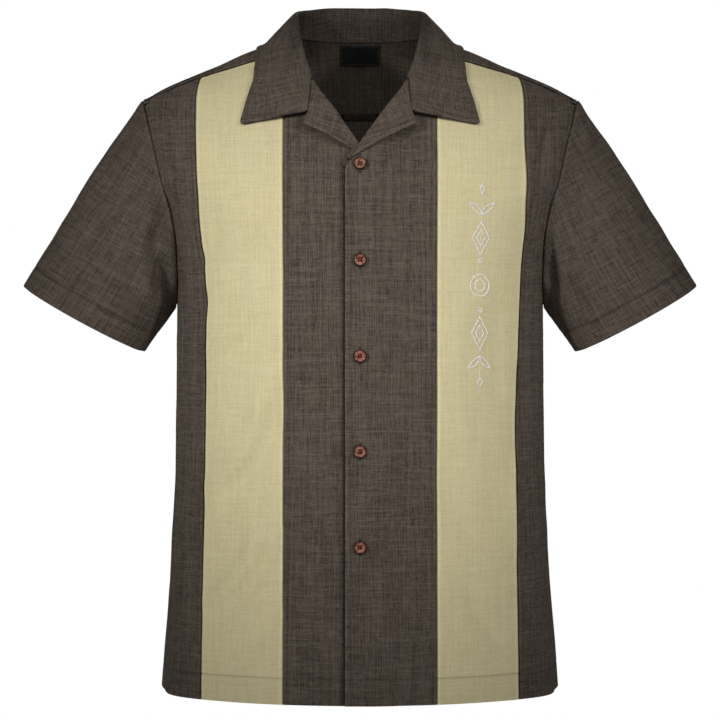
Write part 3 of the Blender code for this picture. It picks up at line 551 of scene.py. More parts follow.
def ribs(tree, place, pitch):
    """A wave of parallel threads, -1 to 1."""
    return sum_up(tree, "SINE", sum_up(tree, "MULTIPLY", place, 2 * math.pi / pitch))


def threads(tree, across, along, pitch, length, shift, low, high):
    """Which stretches of a set of parallel threads stand out, 0 to 1: each thread has its own."""
    place = sum_up(tree, "ADD", sum_up(tree, "DIVIDE", across, pitch), shift)
    number = sum_up(tree, "MULTIPLY", sum_up(tree, "FLOOR", place), 7.31)
    spot = add_node(tree, "CombineXYZ", {0: number, 1: sum_up(tree, "DIVIDE", along, length)}).outputs[0]
    rounded = sum_up(tree, "SINE", sum_up(tree, "MULTIPLY", sum_up(tree, "FRACT", place), math.pi))
    stretch = between(tree, noise(tree, spot, 1.0, flat=True), low, high)
    return sum_up(tree, "MULTIPLY", stretch, between(tree, rounded, 0.25, 0.9))


WEAVE_COLOURS = ("Ground", "Other ground", "Light thread", "Dark thread")
WEAVE_SHARES = ("Light share", "Dark share")
# Threads that stand out: whether they run the other way, pitch, length of a stretch, shift, and
# the noise between which a stretch fades in
LIGHT_THREADS = (
    (False, 0.0019, 0.11, 1.0, 0.45, 0.55),
    (False, 0.00118, 0.012, 5.2, 0.5, 0.6),
    (True, 0.00205, 0.06, 9.0, 0.54, 0.62),
    (True, 0.00118, 0.009, 3.3, 0.53, 0.63),
)
DARK_THREADS = (
    (False, 0.0019, 0.085, 13.5, 0.45, 0.55),
    (False, 0.00118, 0.01, 2.7, 0.5, 0.6),
    (True, 0.00205, 0.045, 17.5, 0.53, 0.61),
    (True, 0.00118, 0.008, 21.8, 0.53, 0.63),
)


def slub_weave_group():
    """A plain weave of uneven threads: places in metres in, colour, height and roughness out."""
    group = bpy.data.node_groups.new("slub_weave", "ShaderNodeTree")
    sockets = [("Place", "INPUT", "Vector")] + [(name, "INPUT", "Color") for name in WEAVE_COLOURS]
    sockets += [(name, "INPUT", "Float") for name in WEAVE_SHARES]
    sockets += [("Color", "OUTPUT", "Color"), ("Height", "OUTPUT", "Float"), ("Roughness", "OUTPUT", "Float")]
    for name, way, kind in sockets:
        group.interface.new_socket(name, in_out=way, socket_type=f"NodeSocket{kind}")
    given = group.nodes.new("NodeGroupInput").outputs
    drift = add_node(
        group, "TexNoise", {"Vector": given["Place"], "Scale": 7.0, "Detail": 0.0}, noise_dimensions="2D"
    ).outputs["Color"]
    moved = add_node(group, "VectorMath", {0: drift, "Scale": 0.001}, operation="SCALE").outputs[0]
    place = add_node(group, "VectorMath", {0: given["Place"], 1: moved}, operation="ADD").outputs[0]
    across, along = add_node(group, "SeparateXYZ", {0: place}).outputs[:2]
    shares = []
    for rows, name in ((LIGHT_THREADS, WEAVE_SHARES[0]), (DARK_THREADS, WEAVE_SHARES[1])):
        total = None
        for turned, *row in rows:
            mask = threads(group, *((along, across) if turned else (across, along)), *row)
            total = mask if total is None else sum_up(group, "ADD", total, mask)
        capped = add_node(group, "Math", {0: total, 1: given[name]}, operation="MULTIPLY", use_clamp=True)
        shares.append(capped.outputs[0])
    dyed = threads(group, across, along, 0.0031, 0.06, 8.8, 0.3, 0.72)
    colour = blended(group, dyed, given["Ground"], given["Other ground"])
    colour = blended(group, shares[1], colour, given["Dark thread"])
    colour = blended(group, shares[0], colour, given["Light thread"])
    woven = [sum_up(group, "MULTIPLY_ADD", ribs(group, way, 0.00062), 0.5, 0.5) for way in (across, along)]
    woven = sum_up(group, "MULTIPLY", sum_up(group, "ADD", *woven), 0.3)
    height = sum_up(group, "ADD", woven, sum_up(group, "SUBTRACT", *shares))
    rough = sum_up(group, "MULTIPLY_ADD", shares[0], -0.08, 0.88)
    feed(group, group.nodes.new("NodeGroupOutput"), {"Color": colour, "Height": height, "Roughness": rough})
    return group


SLUB_WEAVE = slub_weave_group()


def new_material(name):
    made = bpy.data.materials.new(name)
    made.use_nodes = True
    return made, made.node_tree, made.node_tree.nodes["Principled BSDF"]


def shirting(name, colours, shares):
    """Cloth woven from slubbed threads of two grounds with lighter and darker ones."""
    made, tree, surface = new_material(name)
    inputs = {"Place": add_node(tree, "UVMap", uv_map="weave").outputs[0], **dict(zip(WEAVE_SHARES, shares))}
    inputs.update((kind, (*colour, 1)) for kind, colour in zip(WEAVE_COLOURS, colours))
    weave = add_node(tree, "Group", node_tree=SLUB_WEAVE)
    feed(tree, weave, inputs)
    # painted shade and painted highlight: the piece's attribute darkens or lightens the weave's colour
    painted_light = sum_up(tree, "ADD", add_node(tree, "Attribute", attribute_name="painted_light").outputs["Fac"], 1.0)
    with_painted_light = add_node(tree, "VectorMath", {0: weave.outputs["Color"], "Scale": painted_light}, operation="SCALE")
    feed(tree, surface, {
        "Base Color": with_painted_light.outputs[0],
        "Roughness": weave.outputs["Roughness"],
        "Normal": bump(tree, weave.outputs["Height"], 0.4, 0.0003),
        "Specular IOR Level": 0.08,
    })
    return made


BROWN_COLOURS = ((0.085, 0.067, 0.05), (0.078, 0.059, 0.054), (0.172, 0.145, 0.123), (0.023, 0.0172, 0.0148))
SAGE_COLOURS = ((0.61, 0.54, 0.31), (0.57, 0.52, 0.335), (0.7, 0.64, 0.44), (0.41, 0.355, 0.19))
BROWN_CLOTH = "brown_cloth", shirting("brown_slub_cloth", BROWN_COLOURS, (0.22, 0.32))
SAGE_CLOTH = "sage_cloth", shirting("pale_sage_slub_cloth", SAGE_COLOURS, (0.17, 0.16))
# Distances from an edge of the fine grid's lines beside it
LAPPED_EDGE = (-SEAM_LAP, -SEAM_LAP / 2, -0.0012, -0.0004, 0.0003, 0.001, 0.0018, 0.003, 0.0055, 0.0085)
HEM_EDGE = (0, 0.0004, 0.001, 0.002, 0.0045, 0.009, 0.0135, 0.018, 0.0225, 0.0262, 0.0272, 0.028)
HEM_EDGE += (0.0288, 0.0298, 0.033)
COVERED_EDGE = (0, 0.001, 0.003)
CONTROL_SHARES = np.concatenate([np.linspace(0, 0.62, 30), np.linspace(0.62, 1, 46)[1:]])
THREAD_STEP = 0.0036
SEAM_RAISED = 0.00035
UNDER_LAP = -0.0016  # how far a seam's under side sinks
UNDER_STITCH = 0.004
BAND_WIDTH = 0.035
BAND_CLOTH = 1.8 * CLOTH  # the buttoning edge and its facing
SHADE_TOP = -0.152  # the lower front is shaded below this height
WIDTH_HEIGHT = -0.4  # where a strip's width is taken


def stitched_edge(stitch):
    return (0, 0.0004, 0.0009, 0.0016, 0.0028, stitch - 0.001, stitch, stitch + 0.001, stitch + 0.0035)


def strip_of_front(node, side, cloth, columns, left_edge, right_edge, left, right, seed):
    """One strip of a front. The edges give cloth lengths by height.

    left and right say how each edge is made: (lap, stitch), where a lap below zero goes under.
    """
    tops = [front_top_height(left_edge, right_edge, i / columns) for i in range(columns + 1)]
    control = []
    for i, top in enumerate(tops):
        line = []
        for share in CONTROL_SHARES:
            height = mix(HEM_HEIGHT, top - SEAM_GAP / 2, share)
            start, end = left_edge(height) + SEAM_GAP / 2, right_edge(height) - SEAM_GAP / 2
            line.append(front_point(side, mix(start, end, i / columns), height))
        control.append(line)
    near = [LAPPED_EDGE if lap < 0 else stitched_edge(stitch) for lap, stitch in (left, right)]
    width = right_edge(WIDTH_HEIGHT) - left_edge(WIDTH_HEIGHT)
    rough = between_edges(np.zeros(1), np.full(1, width), near[0], near[1], THREAD_STEP)[:, 0] / width
    top_at = np.interp(np.clip(rough, 0, 1), np.linspace(0, 1, columns + 1), tops)
    heights = between_edges(np.full(len(rough), HEM_HEIGHT), top_at, HEM_EDGE, LAPPED_EDGE, THREAD_STEP).T
    fine = np.linspace(HEM_HEIGHT, 0.01, 300)
    starts, ends = (np.interp(heights, fine, [edge(h) for h in fine]) for edge in (left_edge, right_edge))
    lengths = np.empty(heights.shape)
    for k, place in enumerate(rough):
        from_end = len(rough) - 1 - k
        if k < len(near[0]):
            lengths[k] = starts[k] + near[0][k]
        elif from_end < len(near[1]):
            lengths[k] = ends[k] - near[1][from_end]
        else:
            share = (place * width - near[0][-1]) / (width - near[0][-1] - near[1][-1])
            lengths[k] = mix(starts[k] + near[0][-1], ends[k] - near[1][-1], share)
    shares = (heights - HEM_HEIGHT) / (top_at[:, None] - HEM_HEIGHT)
    s = (lengths - starts) / (ends - starts) * columns
    t = np.interp(shares, CONTROL_SHARES, np.arange(len(CONTROL_SHARES)))
    t += np.maximum(shares - 1, 0) / (CONTROL_SHARES[-1] - CONTROL_SHARES[-2])
    points = spread(control, s, t)
    points[..., 0] *= side
    normals = normals_of(points) * side
    from_left, from_right = lengths - starts, ends - lengths
    from_hem, from_top = heights - HEM_HEIGHT, top_at[:, None] - heights
    relief = crease_relief(FRONT_CREASES, points[..., 0], points[..., 2]) * ease((-0.07 - heights) / 0.03)
    relief += uneven(lengths, heights, 0.055, seed) * 0.00025
    relief += seam_edge(from_left, heights, *left, SEAM_RAISED, seed)
    relief += seam_edge(from_right, heights, *right, SEAM_RAISED, seed + 3)
    relief += seam_edge(from_top, lengths, UNDER_LAP, UNDER_STITCH, 0, seed + 5)
    relief += hem_edge(from_hem, lengths, HEM_DEPTH, 0.0006, 0.019, 0.045, seed)
    # painted shade in the seams, along their stitches and the hem's, and painted highlight on turned edges;
    # the turned-up hem is a little darker
    painted_light = seam_painted_light(from_left, *left) + seam_painted_light(from_right, *right) + seam_painted_light(from_top, UNDER_LAP, 0)
    painted_light -= 0.16 * bell(from_hem, HEM_DEPTH, STITCH_SHADE) + 0.04 * (from_hem < HEM_DEPTH)
    wall = hem_wall(from_hem, HEM_DEPTH)
    if left_edge is front_edge_length:
        wall = np.maximum(wall, np.where(from_left < BAND_WIDTH, BAND_CLOTH, CLOTH))
        if side > 0:
            # painted highlight along the free edge of the front that laps over
            painted_light += 0.4 * bell(from_left, 0, 0.0006) + 0.26 * bell(from_left, 0.0009, 0.0008)
        else:  # the shade beside the front that laps over it
            painted_light -= 0.88 * bell(lengths - OVERLAP, 0.0006, 0.0021) * (heights < SHADE_TOP)
            painted_light -= 0.14 * bell(lengths, OVERLAP, 0.006) * ease((-0.16 - heights) / 0.03)
    weave = np.stack([lengths * side + seed * 0.37, heights], axis=2)
    made = cloth_piece(
        node, points + normals * relief[..., None], normals, (from_left, from_right, from_hem, from_top),
        weave, wall, painted_light, cloth,
    )
    made.update(normals=normals_of(made["points"]) * side, across=lengths, up=heights)
    return made


# Swells of a panel's outer seam: size, the height it begins at and the drop it takes, the
# height it fades from and the drop it takes
PANEL_SWELLS = {
    1: ((0.006, -0.1, 0.1, -0.27, 0.16), (0.0052, -0.18, 0.05, -0.26, 0.26)),
    -1: ((0.0022, -0.17, 0.05, -0.24, 0.06),),
}


def outer_seam(side):
    """Cloth length of a panel's outer seam by height. The left panel is wider over the ribs."""

    def swell(height, size, low, rise, high, fall):
        return size * ease((low - height) / rise) * (1 - ease((high - height) / fall))

    rows = PANEL_SWELLS[side]
    return lambda height: PANEL_OUTER_SEAM + sum(swell(height, *row) for row in rows)


def inner_seam(height):
    return PANEL_INNER_SEAM


def side_seam(height):
    return armhole_length(height, False, TIP_HEIGHT)


UNDER = (UNDER_LAP, UNDER_STITCH)
OVER = (0, STITCH_FROM_SEAM)
strips = {}
for side, word, seed in ((1, "left", 0), (-1, "right", 20)):
    outer = outer_seam(side)
    for node, *strip, number in (
        ("centre_front", BROWN_CLOTH, 10, front_edge_length, inner_seam, (0, STITCH_FROM_EDGE), OVER, 1),
        ("contrast_panel", SAGE_CLOTH, 6, inner_seam, outer, UNDER, UNDER, 4),
        ("side_front", BROWN_CLOTH, 6, outer, side_seam, OVER, OVER, 8),
    ):
        strips[f"{word}_{node}"] = strip_of_front(f"{word}_{node}", side, *strip, seed + number)

# ------------------------------------------------------------
# Back. One panel of the brown cloth below the yoke, with a box pleat in the middle that is
# caught in the yoke's seam and opens out downwards.
# ------------------------------------------------------------

YOKE_BACK_HEIGHT = -0.0805
YOKE_BACK_DROP = 0.038  # how much lower the back seam is at the armhole
YOKE_BACK_REACH = 0.234  # how far across that is
PLEAT_HALF_WIDTH = 0.0195
PLEAT_SEAM_RISE = 0.0006
PLEAT_RISE = 0.0038
PLEAT_FULL = 0.035
PLEAT_END = -0.5  # the height where the pleat has opened out flat
PLEAT_BLOCK = 12  # how many of the grid's lines beside the middle move to the pleat's fold
BACK_CORNER = YOKE_BACK_HEIGHT - YOKE_BACK_DROP
BACK_TURN = 0.25  # shifts the back's weave, so that it doesn't repeat the fronts'
BACK_CREASES = (
    (-0.15, -0.2, -0.1, -0.3, 0.012, -0.0016),
    (0.158, -0.19, 0.112, -0.286, 0.011, -0.0017),
    (-0.176, -0.19, -0.15, -0.262, 0.009, -0.0014),
    (0.184, -0.205, 0.152, -0.28, 0.009, -0.0012),
    (-0.06, -0.38, -0.12, -0.52, 0.013, -0.0016),
    (0.07, -0.42, 0.126, -0.556, 0.013, -0.0015),
    (-0.096, -0.54, -0.146, -0.66, 0.012, 0.0012),
    (0.05, -0.57, 0.09, -0.668, 0.012, 0.0012),
    (0.13, -0.33, 0.15, -0.45, 0.014, 0.0012),
    (-0.14, -0.36, -0.16, -0.47, 0.014, 0.0011),
)


def back_top_height(x):
    return YOKE_BACK_HEIGHT - YOKE_BACK_DROP * (x / YOKE_BACK_REACH) ** 2


def back_top_at(length):
    """Height of the back's top edge at a cloth length."""
    return halved(-0.14, -0.06, lambda height: height >= back_top_height(on_ring(length, height, True)[0]))


def back_point(length, height):
    """A point of the back's outer face, without its pleat."""
    x, y = on_ring(length, height, True)
    flat = Vector((x, y, height))
    return flat + outward(flat) * fold_depth(x, y, height)


def share_table(points):
    """For each line along a grid's first way: its places at even shares of its length, its length."""
    count = points.shape[0] - 1
    fine = np.linspace(0, count, 10 * count + 1)
    along = np.repeat(fine[:, None], points.shape[1], 1)
    up = np.repeat(np.arange(points.shape[1], dtype=float)[None], len(fine), 0)
    line = spread(points, along, up)
    reach = np.cumsum(np.linalg.norm(np.diff(line, axis=0), axis=2), axis=0)
    reach = np.concatenate([np.zeros((1, points.shape[1])), reach])
    even = np.linspace(0, 1, 301)
    places = [np.interp(even * reach[-1, j], reach[:, j], fine) for j in range(points.shape[1])]
    return np.stack(places, axis=1), reach[-1]


def look_up(places, share, line):
    """A share_table's places at shares of lengths, between its lines; beyond 0 and 1 it runs on."""
    across = np.clip(np.floor(line).astype(int), 0, places.shape[1] - 2)
    t = line - across
    at = share * (places.shape[0] - 1)
    cell = np.clip(np.floor(at).astype(int), 0, places.shape[0] - 2)
    f = at - cell
    near = places[cell, across] * (1 - f) + places[cell + 1, across] * f
    far = places[cell, across + 1] * (1 - f) + places[cell + 1, across + 1] * f
    return near * (1 - t) + far * t


def laid_out(control, near, step, rounded=(), radius=0.0):
    """A fine grid on the surface through a coarse one.

    near gives, for the first, last, low and high edge, the fixed distances of the lines beside
    it. rounded names the corners to round off, as pairs of edges. Returns the points and their
    distances from the four edges.
    """
    points = np.array(control, float)
    along_table, along_length = share_table(points)
    up_table, up_length = share_table(points.transpose(1, 0, 2))
    lines, reach = [], []
    for k, mean in ((0, along_length.mean()), (2, up_length.mean())):
        count = max(int(round((mean - near[k][-1] - near[k + 1][-1]) / step)), 1)
        lines.append(np.linspace(0, 1, count + 1)[1:-1])
    shape = tuple(len(near[2 * k]) + len(lines[k]) + len(near[2 * k + 1]) for k in (0, 1))
    edges = [np.full(shape, np.inf) for _ in range(4)]
    edges[0][: len(near[0])] = np.array(near[0])[:, None]
    edges[1][shape[0] - len(near[1]):] = np.array(near[1])[::-1, None]
    edges[2][:, : len(near[2])] = np.array(near[2])[None]
    edges[3][:, shape[1] - len(near[3]):] = np.array(near[3])[::-1][None]
    for a, b in rounded:
        inside = (edges[a] < radius) & (edges[b] < radius)
        u, v = radius - edges[a][inside], radius - edges[b][inside]
        edges[a][inside] = radius - u * np.sqrt(1 - v * v / (2 * radius**2))
        edges[b][inside] = radius - v * np.sqrt(1 - u * u / (2 * radius**2))
    inner = [np.zeros(shape), np.zeros(shape)]
    inner[0][len(near[0]): shape[0] - len(near[1])] = lines[0][:, None]
    inner[1][:, len(near[2]): shape[1] - len(near[3])] = lines[1][None]

    def distance(way, total):
        """Distance from the first edge of one way, where the whole length is total."""
        a, b = edges[2 * way], edges[2 * way + 1]
        start, end = near[2 * way][-1], near[2 * way + 1][-1]
        plain = start + (total - start - end) * inner[way]
        return np.where(np.isfinite(a), a, np.where(np.isfinite(b), total - b, plain))

    s = distance(0, np.full(shape, along_length.mean())) / along_length.mean() * (points.shape[0] - 1)
    t = distance(1, np.full(shape, up_length.mean())) / up_length.mean() * (points.shape[1] - 1)
    for _ in range(5):
        total = np.interp(t, np.arange(len(along_length)), along_length)
        along = distance(0, total)
        s = look_up(along_table, along / total, t)
        total_up = np.interp(s, np.arange(len(up_length)), up_length)
        up = distance(1, total_up)
        t = look_up(up_table, up / total_up, s)
    return spread(points, s, t), along, total - along, up, total_up - up


control = []
back_reach = armhole_length(BACK_CORNER, True, BACK_CORNER)
for i in range(-16, 17):
    share = abs(i) / 16
    top = back_top_at(back_reach * share) - SEAM_GAP / 2
    line = []
    for rise in CONTROL_SHARES:
        height = mix(HEM_HEIGHT, top, rise)
        point = back_point(share * (armhole_length(height, True, BACK_CORNER) - SEAM_GAP / 2), height)
        line.append((math.copysign(point.x, i) if i else 0.0, point.y, point.z))
    control.append(line)
side_edge = (-0.004, -0.002, *LAPPED_EDGE[2:])
points, *edges = laid_out(control, (side_edge, side_edge, HEM_EDGE, LAPPED_EDGE), THREAD_STEP)
half = (edges[0] + edges[1]) / 2
across = edges[0] - half
pleat_rows = PLEAT_HALF_WIDTH + np.array([-0.0016, -0.0009, -0.0003, 0.0003, 0.0009, 0.0018])
for sign in (-1, 1):
    rows = len(points) // 2 + sign * np.arange(PLEAT_BLOCK + 1)
    was_across, was_points = across[rows] * sign, points[rows]
    inside = np.linspace(0, pleat_rows[0], 5, endpoint=False)[1:]
    for j in range(points.shape[1]):
        beyond = np.linspace(pleat_rows[-1], was_across[-1, j], PLEAT_BLOCK - 9)[1:]
        wanted = np.concatenate([[was_across[0, j]], inside, pleat_rows, beyond])
        for axis in range(3):
            points[rows, j, axis] = np.interp(wanted, was_across[:, j], was_points[:, j, axis])
        across[rows, j] = wanted * sign
edges[0], edges[1] = half + across, half - across
normals = -normals_of(points)
from_hem, from_yoke, from_fold = edges[2], edges[3], np.abs(across) - PLEAT_HALF_WIDTH
rise = mix(PLEAT_SEAM_RISE, PLEAT_RISE, ease(from_yoke / PLEAT_FULL))
rise = rise * (1 - ease((from_yoke - PLEAT_FULL) / (YOKE_BACK_HEIGHT - PLEAT_FULL - PLEAT_END)))
relief = rise * (1 - ease((from_fold + 0.0012) / 0.0022)) * (from_yoke > -0.0002)
folded = 0.0012 * bell(from_fold, -0.0016, 0.002) * ease(from_yoke / 0.04)
relief += folded * (1 - ease((from_yoke - 0.05) / 0.33))
relief += crease_relief(BACK_CREASES, points[..., 0], points[..., 2])
relief += uneven(across, points[..., 2], 0.06, 31) * 0.0003
relief += seam_edge(from_yoke, across, UNDER_LAP, UNDER_STITCH, 0, 33)
for edge in edges[:2]:
    relief -= 0.0016 * (1 - ease((edge + 0.0002) / 0.0024))
relief += groove(from_hem, 0, 0.001, 0.0006) + groove(from_hem, HEM_DEPTH, 0.001, 0.00035)
# painted shade in the seams, along the hem's stitches and in the pleat's fold
painted_light = sum(seam_painted_light(edges[k], UNDER_LAP, 0) for k in (0, 1, 3))
painted_light -= 0.16 * bell(from_hem, HEM_DEPTH, STITCH_SHADE)
painted_light -= 0.45 * bell(from_fold, 0.0004, 0.0011) * (1 - ease((from_yoke - 0.02) / 0.34))
weave = np.stack([across + BACK_TURN, from_hem], axis=2)
flat, area = cut_size(weave)
back = cloth_piece(
    "back", points + normals * relief[..., None], normals, edges, weave, hem_wall(from_hem, HEM_DEPTH),
    painted_light, BROWN_CLOTH,
)

# ------------------------------------------------------------
# Yoke. One piece of the brown cloth over both shoulders, from the straight seams in front of
# them to the back's seam, stitched down beside each.
# ------------------------------------------------------------

CREST_HEIGHT = -0.0705
NECKLINE_PLAN = (  # half of the neckline, seen from above
    (0.066, -0.052),
    (0.0715, -0.038),
    (0.0755, -0.02),
    (0.077, 0.0),
    (0.073, 0.023),
    (0.0635, 0.043),
    (0.0495, 0.059),
    (0.027, 0.0725),
    (0.0, 0.0772),
)
YOKE_NECK_SHARES = (0.0, 0.15, 0.308, 0.37, 0.43, 0.49, 0.54)
YOKE_BACK_SHARES = (1.0, 0.91, 0.81, 0.7, 0.59, 0.48, 0.37, 0.26, 0.16, 0.08, 0.0)


def top_of_form(x, y):
    """Height of the body form's upper side at a place seen from above."""

    def outside(height):
        return (x / body("half_width", height)) ** 2 + (y / body(depth_column(y), height)) ** 2 >= 1

    return halved(-0.125, 0.012, outside)


def reach_along(points):
    """How far along a line of points each of them is."""
    reach = [0.0]
    for a, b in zip(points, points[1:]):
        reach.append(reach[-1] + (b - a).length)
    return reach


def spread_along(points, shares):
    """Points at those shares of a line's length."""
    reach = reach_along(points)
    found = []
    for share in shares:
        want = share * reach[-1]
        i = min(max(int(np.searchsorted(reach, want)) - 1, 0), len(points) - 2)
        found.append(points[i].lerp(points[i + 1], (want - reach[i]) / (reach[i + 1] - reach[i])))
    return found


def neckline_plan():
    """Half of the neckline on the yoke from its front end, seen from above, as a fine line."""
    rows = [Vector((x, y, 0.0)) for x, y in NECKLINE_PLAN]
    rows = [rows[0] * 2 - rows[1]] + rows + [Vector((-rows[-2].x, rows[-2].y, 0.0))]
    fine = []
    for a, b, c, d in zip(rows, rows[1:], rows[2:], rows[3:]):
        for t in np.linspace(0, 1, 9)[:-1]:
            bend = (c - a) * (t - 2 * t**2 + t**3) + (b - d) * (t**2 - t**3)
            fine.append(b * (1 - 3 * t**2 + 2 * t**3) + c * (3 * t**2 - 2 * t**3) + bend * 0.5)
    return fine + rows[-2:-1]


def mirrored(line):
    return [Vector((-p.x, p.y, p.z)) for p in line]


# The armhole over the shoulder, from the yoke's front seam to its back seam
arm_points = [armhole_point(height, False) for height in (TIP_HEIGHT, -0.0722, CREST_HEIGHT)]
arm_points += [armhole_point(height, True) for height in (-0.0735, -0.085, -0.1, BACK_CORNER)]
yoke_outer = list(arm_points)
for share in YOKE_BACK_SHARES[1:]:
    height = back_top_at(back_reach * share)
    yoke_outer.append(Vector((*on_ring(back_reach * share, height, True), height)))
neck_shares = np.concatenate([YOKE_NECK_SHARES, np.linspace(YOKE_NECK_SHARES[-1], 1, 11)[1:]])
control = []
for k, (inner, outer) in enumerate(zip(spread_along(neckline_plan(), neck_shares), yoke_outer)):
    line = []
    for j in range(8):
        plan = inner.lerp(outer, j / 8)
        if k == 0:
            plan.y = yoke_front_y(plan.x) + SEAM_GAP
        line.append(Vector((plan.x, plan.y, top_of_form(plan.x, plan.y))))
    gap = Vector((-SEAM_GAP / 2, 0, 0)) if k < len(arm_points) else Vector((0, 0, SEAM_GAP / 2))
    control.append(line + [outer + gap])
seam_rows = stitched_edge(STITCH_FROM_SEAM)
control = [[tuple(p) for p in line] for line in control + [mirrored(line) for line in control[-2::-1]]]
points, *edges = laid_out(control, (seam_rows, seam_rows, COVERED_EDGE, seam_rows), THREAD_STEP)
normals = -normals_of(points)
# The last edge is the armhole's over the shoulders and the back's seam between them
over_back = ease((points[:, -1, 1] - 0.062) / 0.02)[:, None] * np.ones(points.shape[:2])
relief = uneven(points[..., 0], points[..., 1], 0.05, 41) * 0.0002
relief += seam_edge(edges[3], edges[0], *OVER, 0.0004, 47) * over_back
relief += (groove(edges[3], 0, 0.0012, 0.0005) + 0.0016 * bell(edges[3], 0, 0.0042)) * (1 - over_back)
# painted shade in the seams and along their stitches, and a painted highlight beside the armhole and front
# seams
painted_light = seam_painted_light(edges[3], *OVER) * over_back
painted_light += (0.3 * bell(edges[3], 0.0022, 0.0016) - 0.25 * bell(edges[3], 0, 0.0005)) * (1 - over_back)
for end in (0, 1):
    relief += seam_edge(edges[end], edges[2], *OVER, 0.0004, 43 + end)
    painted_light += seam_painted_light(edges[end], *OVER) + 0.34 * bell(edges[end], 0.0022, 0.0017)
points = points + normals * relief[..., None]
down = points[..., 2] * ease(points[..., 1] / 0.05)
weave = np.stack([points[..., 0] + 1.3, points[..., 1] - down], axis=2)
yoke = cloth_piece(
    "yoke", points, normals, edges, weave, CLOTH, painted_light, BROWN_CLOTH,
)

# ------------------------------------------------------------
# Sleeves. Each is one piece of the brown cloth, set into the armhole, sewn to a tube under the
# arm and turned up at the cuff.
# ------------------------------------------------------------

CUFF_OUTER = Vector((0.3754, -0.01, -0.2766))
CUFF_INNER = Vector((0.24, -0.006, -0.3507))
CUFF_HALF_DEPTH = 0.06
CUFF_STITCH = 0.0245  # from the cuff's edge
SLEEVE_FALL = Vector((0.53, -0.02, -0.848)).normalized()
ARMHOLE_GAP = 0.0005
SLEEVE_PULL = 0.42  # how much a sleeve leaves the armhole square on, at its top
SLEEVE_TENSION = 0.95  # how strongly its ends set its way, as a share of its length
SLEEVE_MIDDLE = (0.29, -0.008, -0.25)
FRONT_ARM_HEIGHTS = np.linspace(UNDERARM_HEIGHT, TIP_HEIGHT, 10)
BACK_ARM_HEIGHTS = np.linspace(YOKE_BACK_HEIGHT - YOKE_BACK_DROP, UNDERARM_HEIGHT, 8)
SLEEVE_CREASES = {  # by side, in the columns of the fronts' creases
    1: (
        (0.205, -0.15, 0.209, -0.28, 0.0125, -0.0105),
        (0.252, -0.106, 0.256, -0.132, 0.006, 0.0016),
        (0.262, -0.1, 0.27, -0.15, 0.007, -0.0014),
        (0.248, -0.17, 0.256, -0.235, 0.0085, -0.0026),
        (0.228, -0.226, 0.244, -0.3, 0.008, -0.0032),
        (0.27, -0.19, 0.3, -0.262, 0.012, 0.0018),
        (0.318, -0.168, 0.344, -0.24, 0.014, -0.0016),
    ),
    -1: (
        (-0.207, -0.17, -0.213, -0.28, 0.012, -0.01),
        (-0.29, -0.15, -0.292, -0.262, 0.009, 0.0022),
        (-0.272, -0.14, -0.266, -0.25, 0.009, -0.0022),
        (-0.236, -0.196, -0.246, -0.28, 0.008, -0.0032),
        (-0.252, -0.108, -0.258, -0.146, 0.007, -0.0014),
        (-0.322, -0.176, -0.348, -0.246, 0.013, -0.0016),
        (-0.214, -0.236, -0.23, -0.306, 0.007, 0.0018),
    ),
}


def half_shares(points):
    reach = reach_along(points)
    return [step / reach[-1] for step in reach]


def cuff_point(turn):
    """The sleeve's edge: 0 at the outer corner, a quarter in front, a half at the inner one."""
    centre = (CUFF_OUTER + CUFF_INNER) / 2
    across = (CUFF_OUTER - CUFF_INNER) / 2
    angle = 2 * math.pi * turn
    deep = Vector((0, -CUFF_HALF_DEPTH * math.sin(angle), -0.004 * math.sin(angle)))
    return centre + across * math.cos(angle) + deep


# The left armhole once round from the crest by the front, with each point's share of the way
crest = 2
front_arm = [armhole_point(h, False) for h in FRONT_ARM_HEIGHTS[::-1][1:]]
back_arm = [armhole_point(h, True) for h in BACK_ARM_HEIGHTS[::-1][1:-1]]
armhole_ring = arm_points[crest::-1] + front_arm + back_arm + arm_points[:crest:-1]
under = crest + len(front_arm)
turns = [share / 2 for share in half_shares(armhole_ring[: under + 1])]
turns += [0.5 + share / 2 for share in half_shares(armhole_ring[under:] + armhole_ring[:1])][1:-1]
ring_count = len(armhole_ring)
control = []
for i in range(ring_count + 1):
    k = (under + i) % ring_count
    point = armhole_ring[k]
    loop = (armhole_ring[(k + 1) % ring_count] - armhole_ring[k - 1]).normalized()
    away = loop.cross(outward(point)).normalized()
    away = -away if away.x < 0 or (abs(away.x) < 0.3 and away.z < 0) else away
    near_top = 0.5 + 0.5 * math.cos(2 * math.pi * turns[k])
    way = (away * (SLEEVE_PULL * near_top) + SLEEVE_FALL * (1.0 - SLEEVE_PULL * near_top)).normalized()
    start, end = point + way * ARMHOLE_GAP, cuff_point(turns[k])
    pull = (end - start).length * SLEEVE_TENSION
    line = []
    for t in np.linspace(0, 1, 19):
        whole = start * (1 + 2 * t) * (1 - t) ** 2 + end * t * t * (3 - 2 * t)
        line.append(tuple(whole + way * pull * t * (1 - t) ** 2 - SLEEVE_FALL * pull * t * t * (1 - t)))
    control.append(line)
cuff_edge = (0, 0.0004, 0.001, 0.002, 0.005, 0.0095, 0.014, 0.0185, 0.0225, 0.0237, 0.0245, 0.0253, 0.028)
sleeve_seam = (0, 0.0005, 0.0014, 0.003)
sleeves = {}
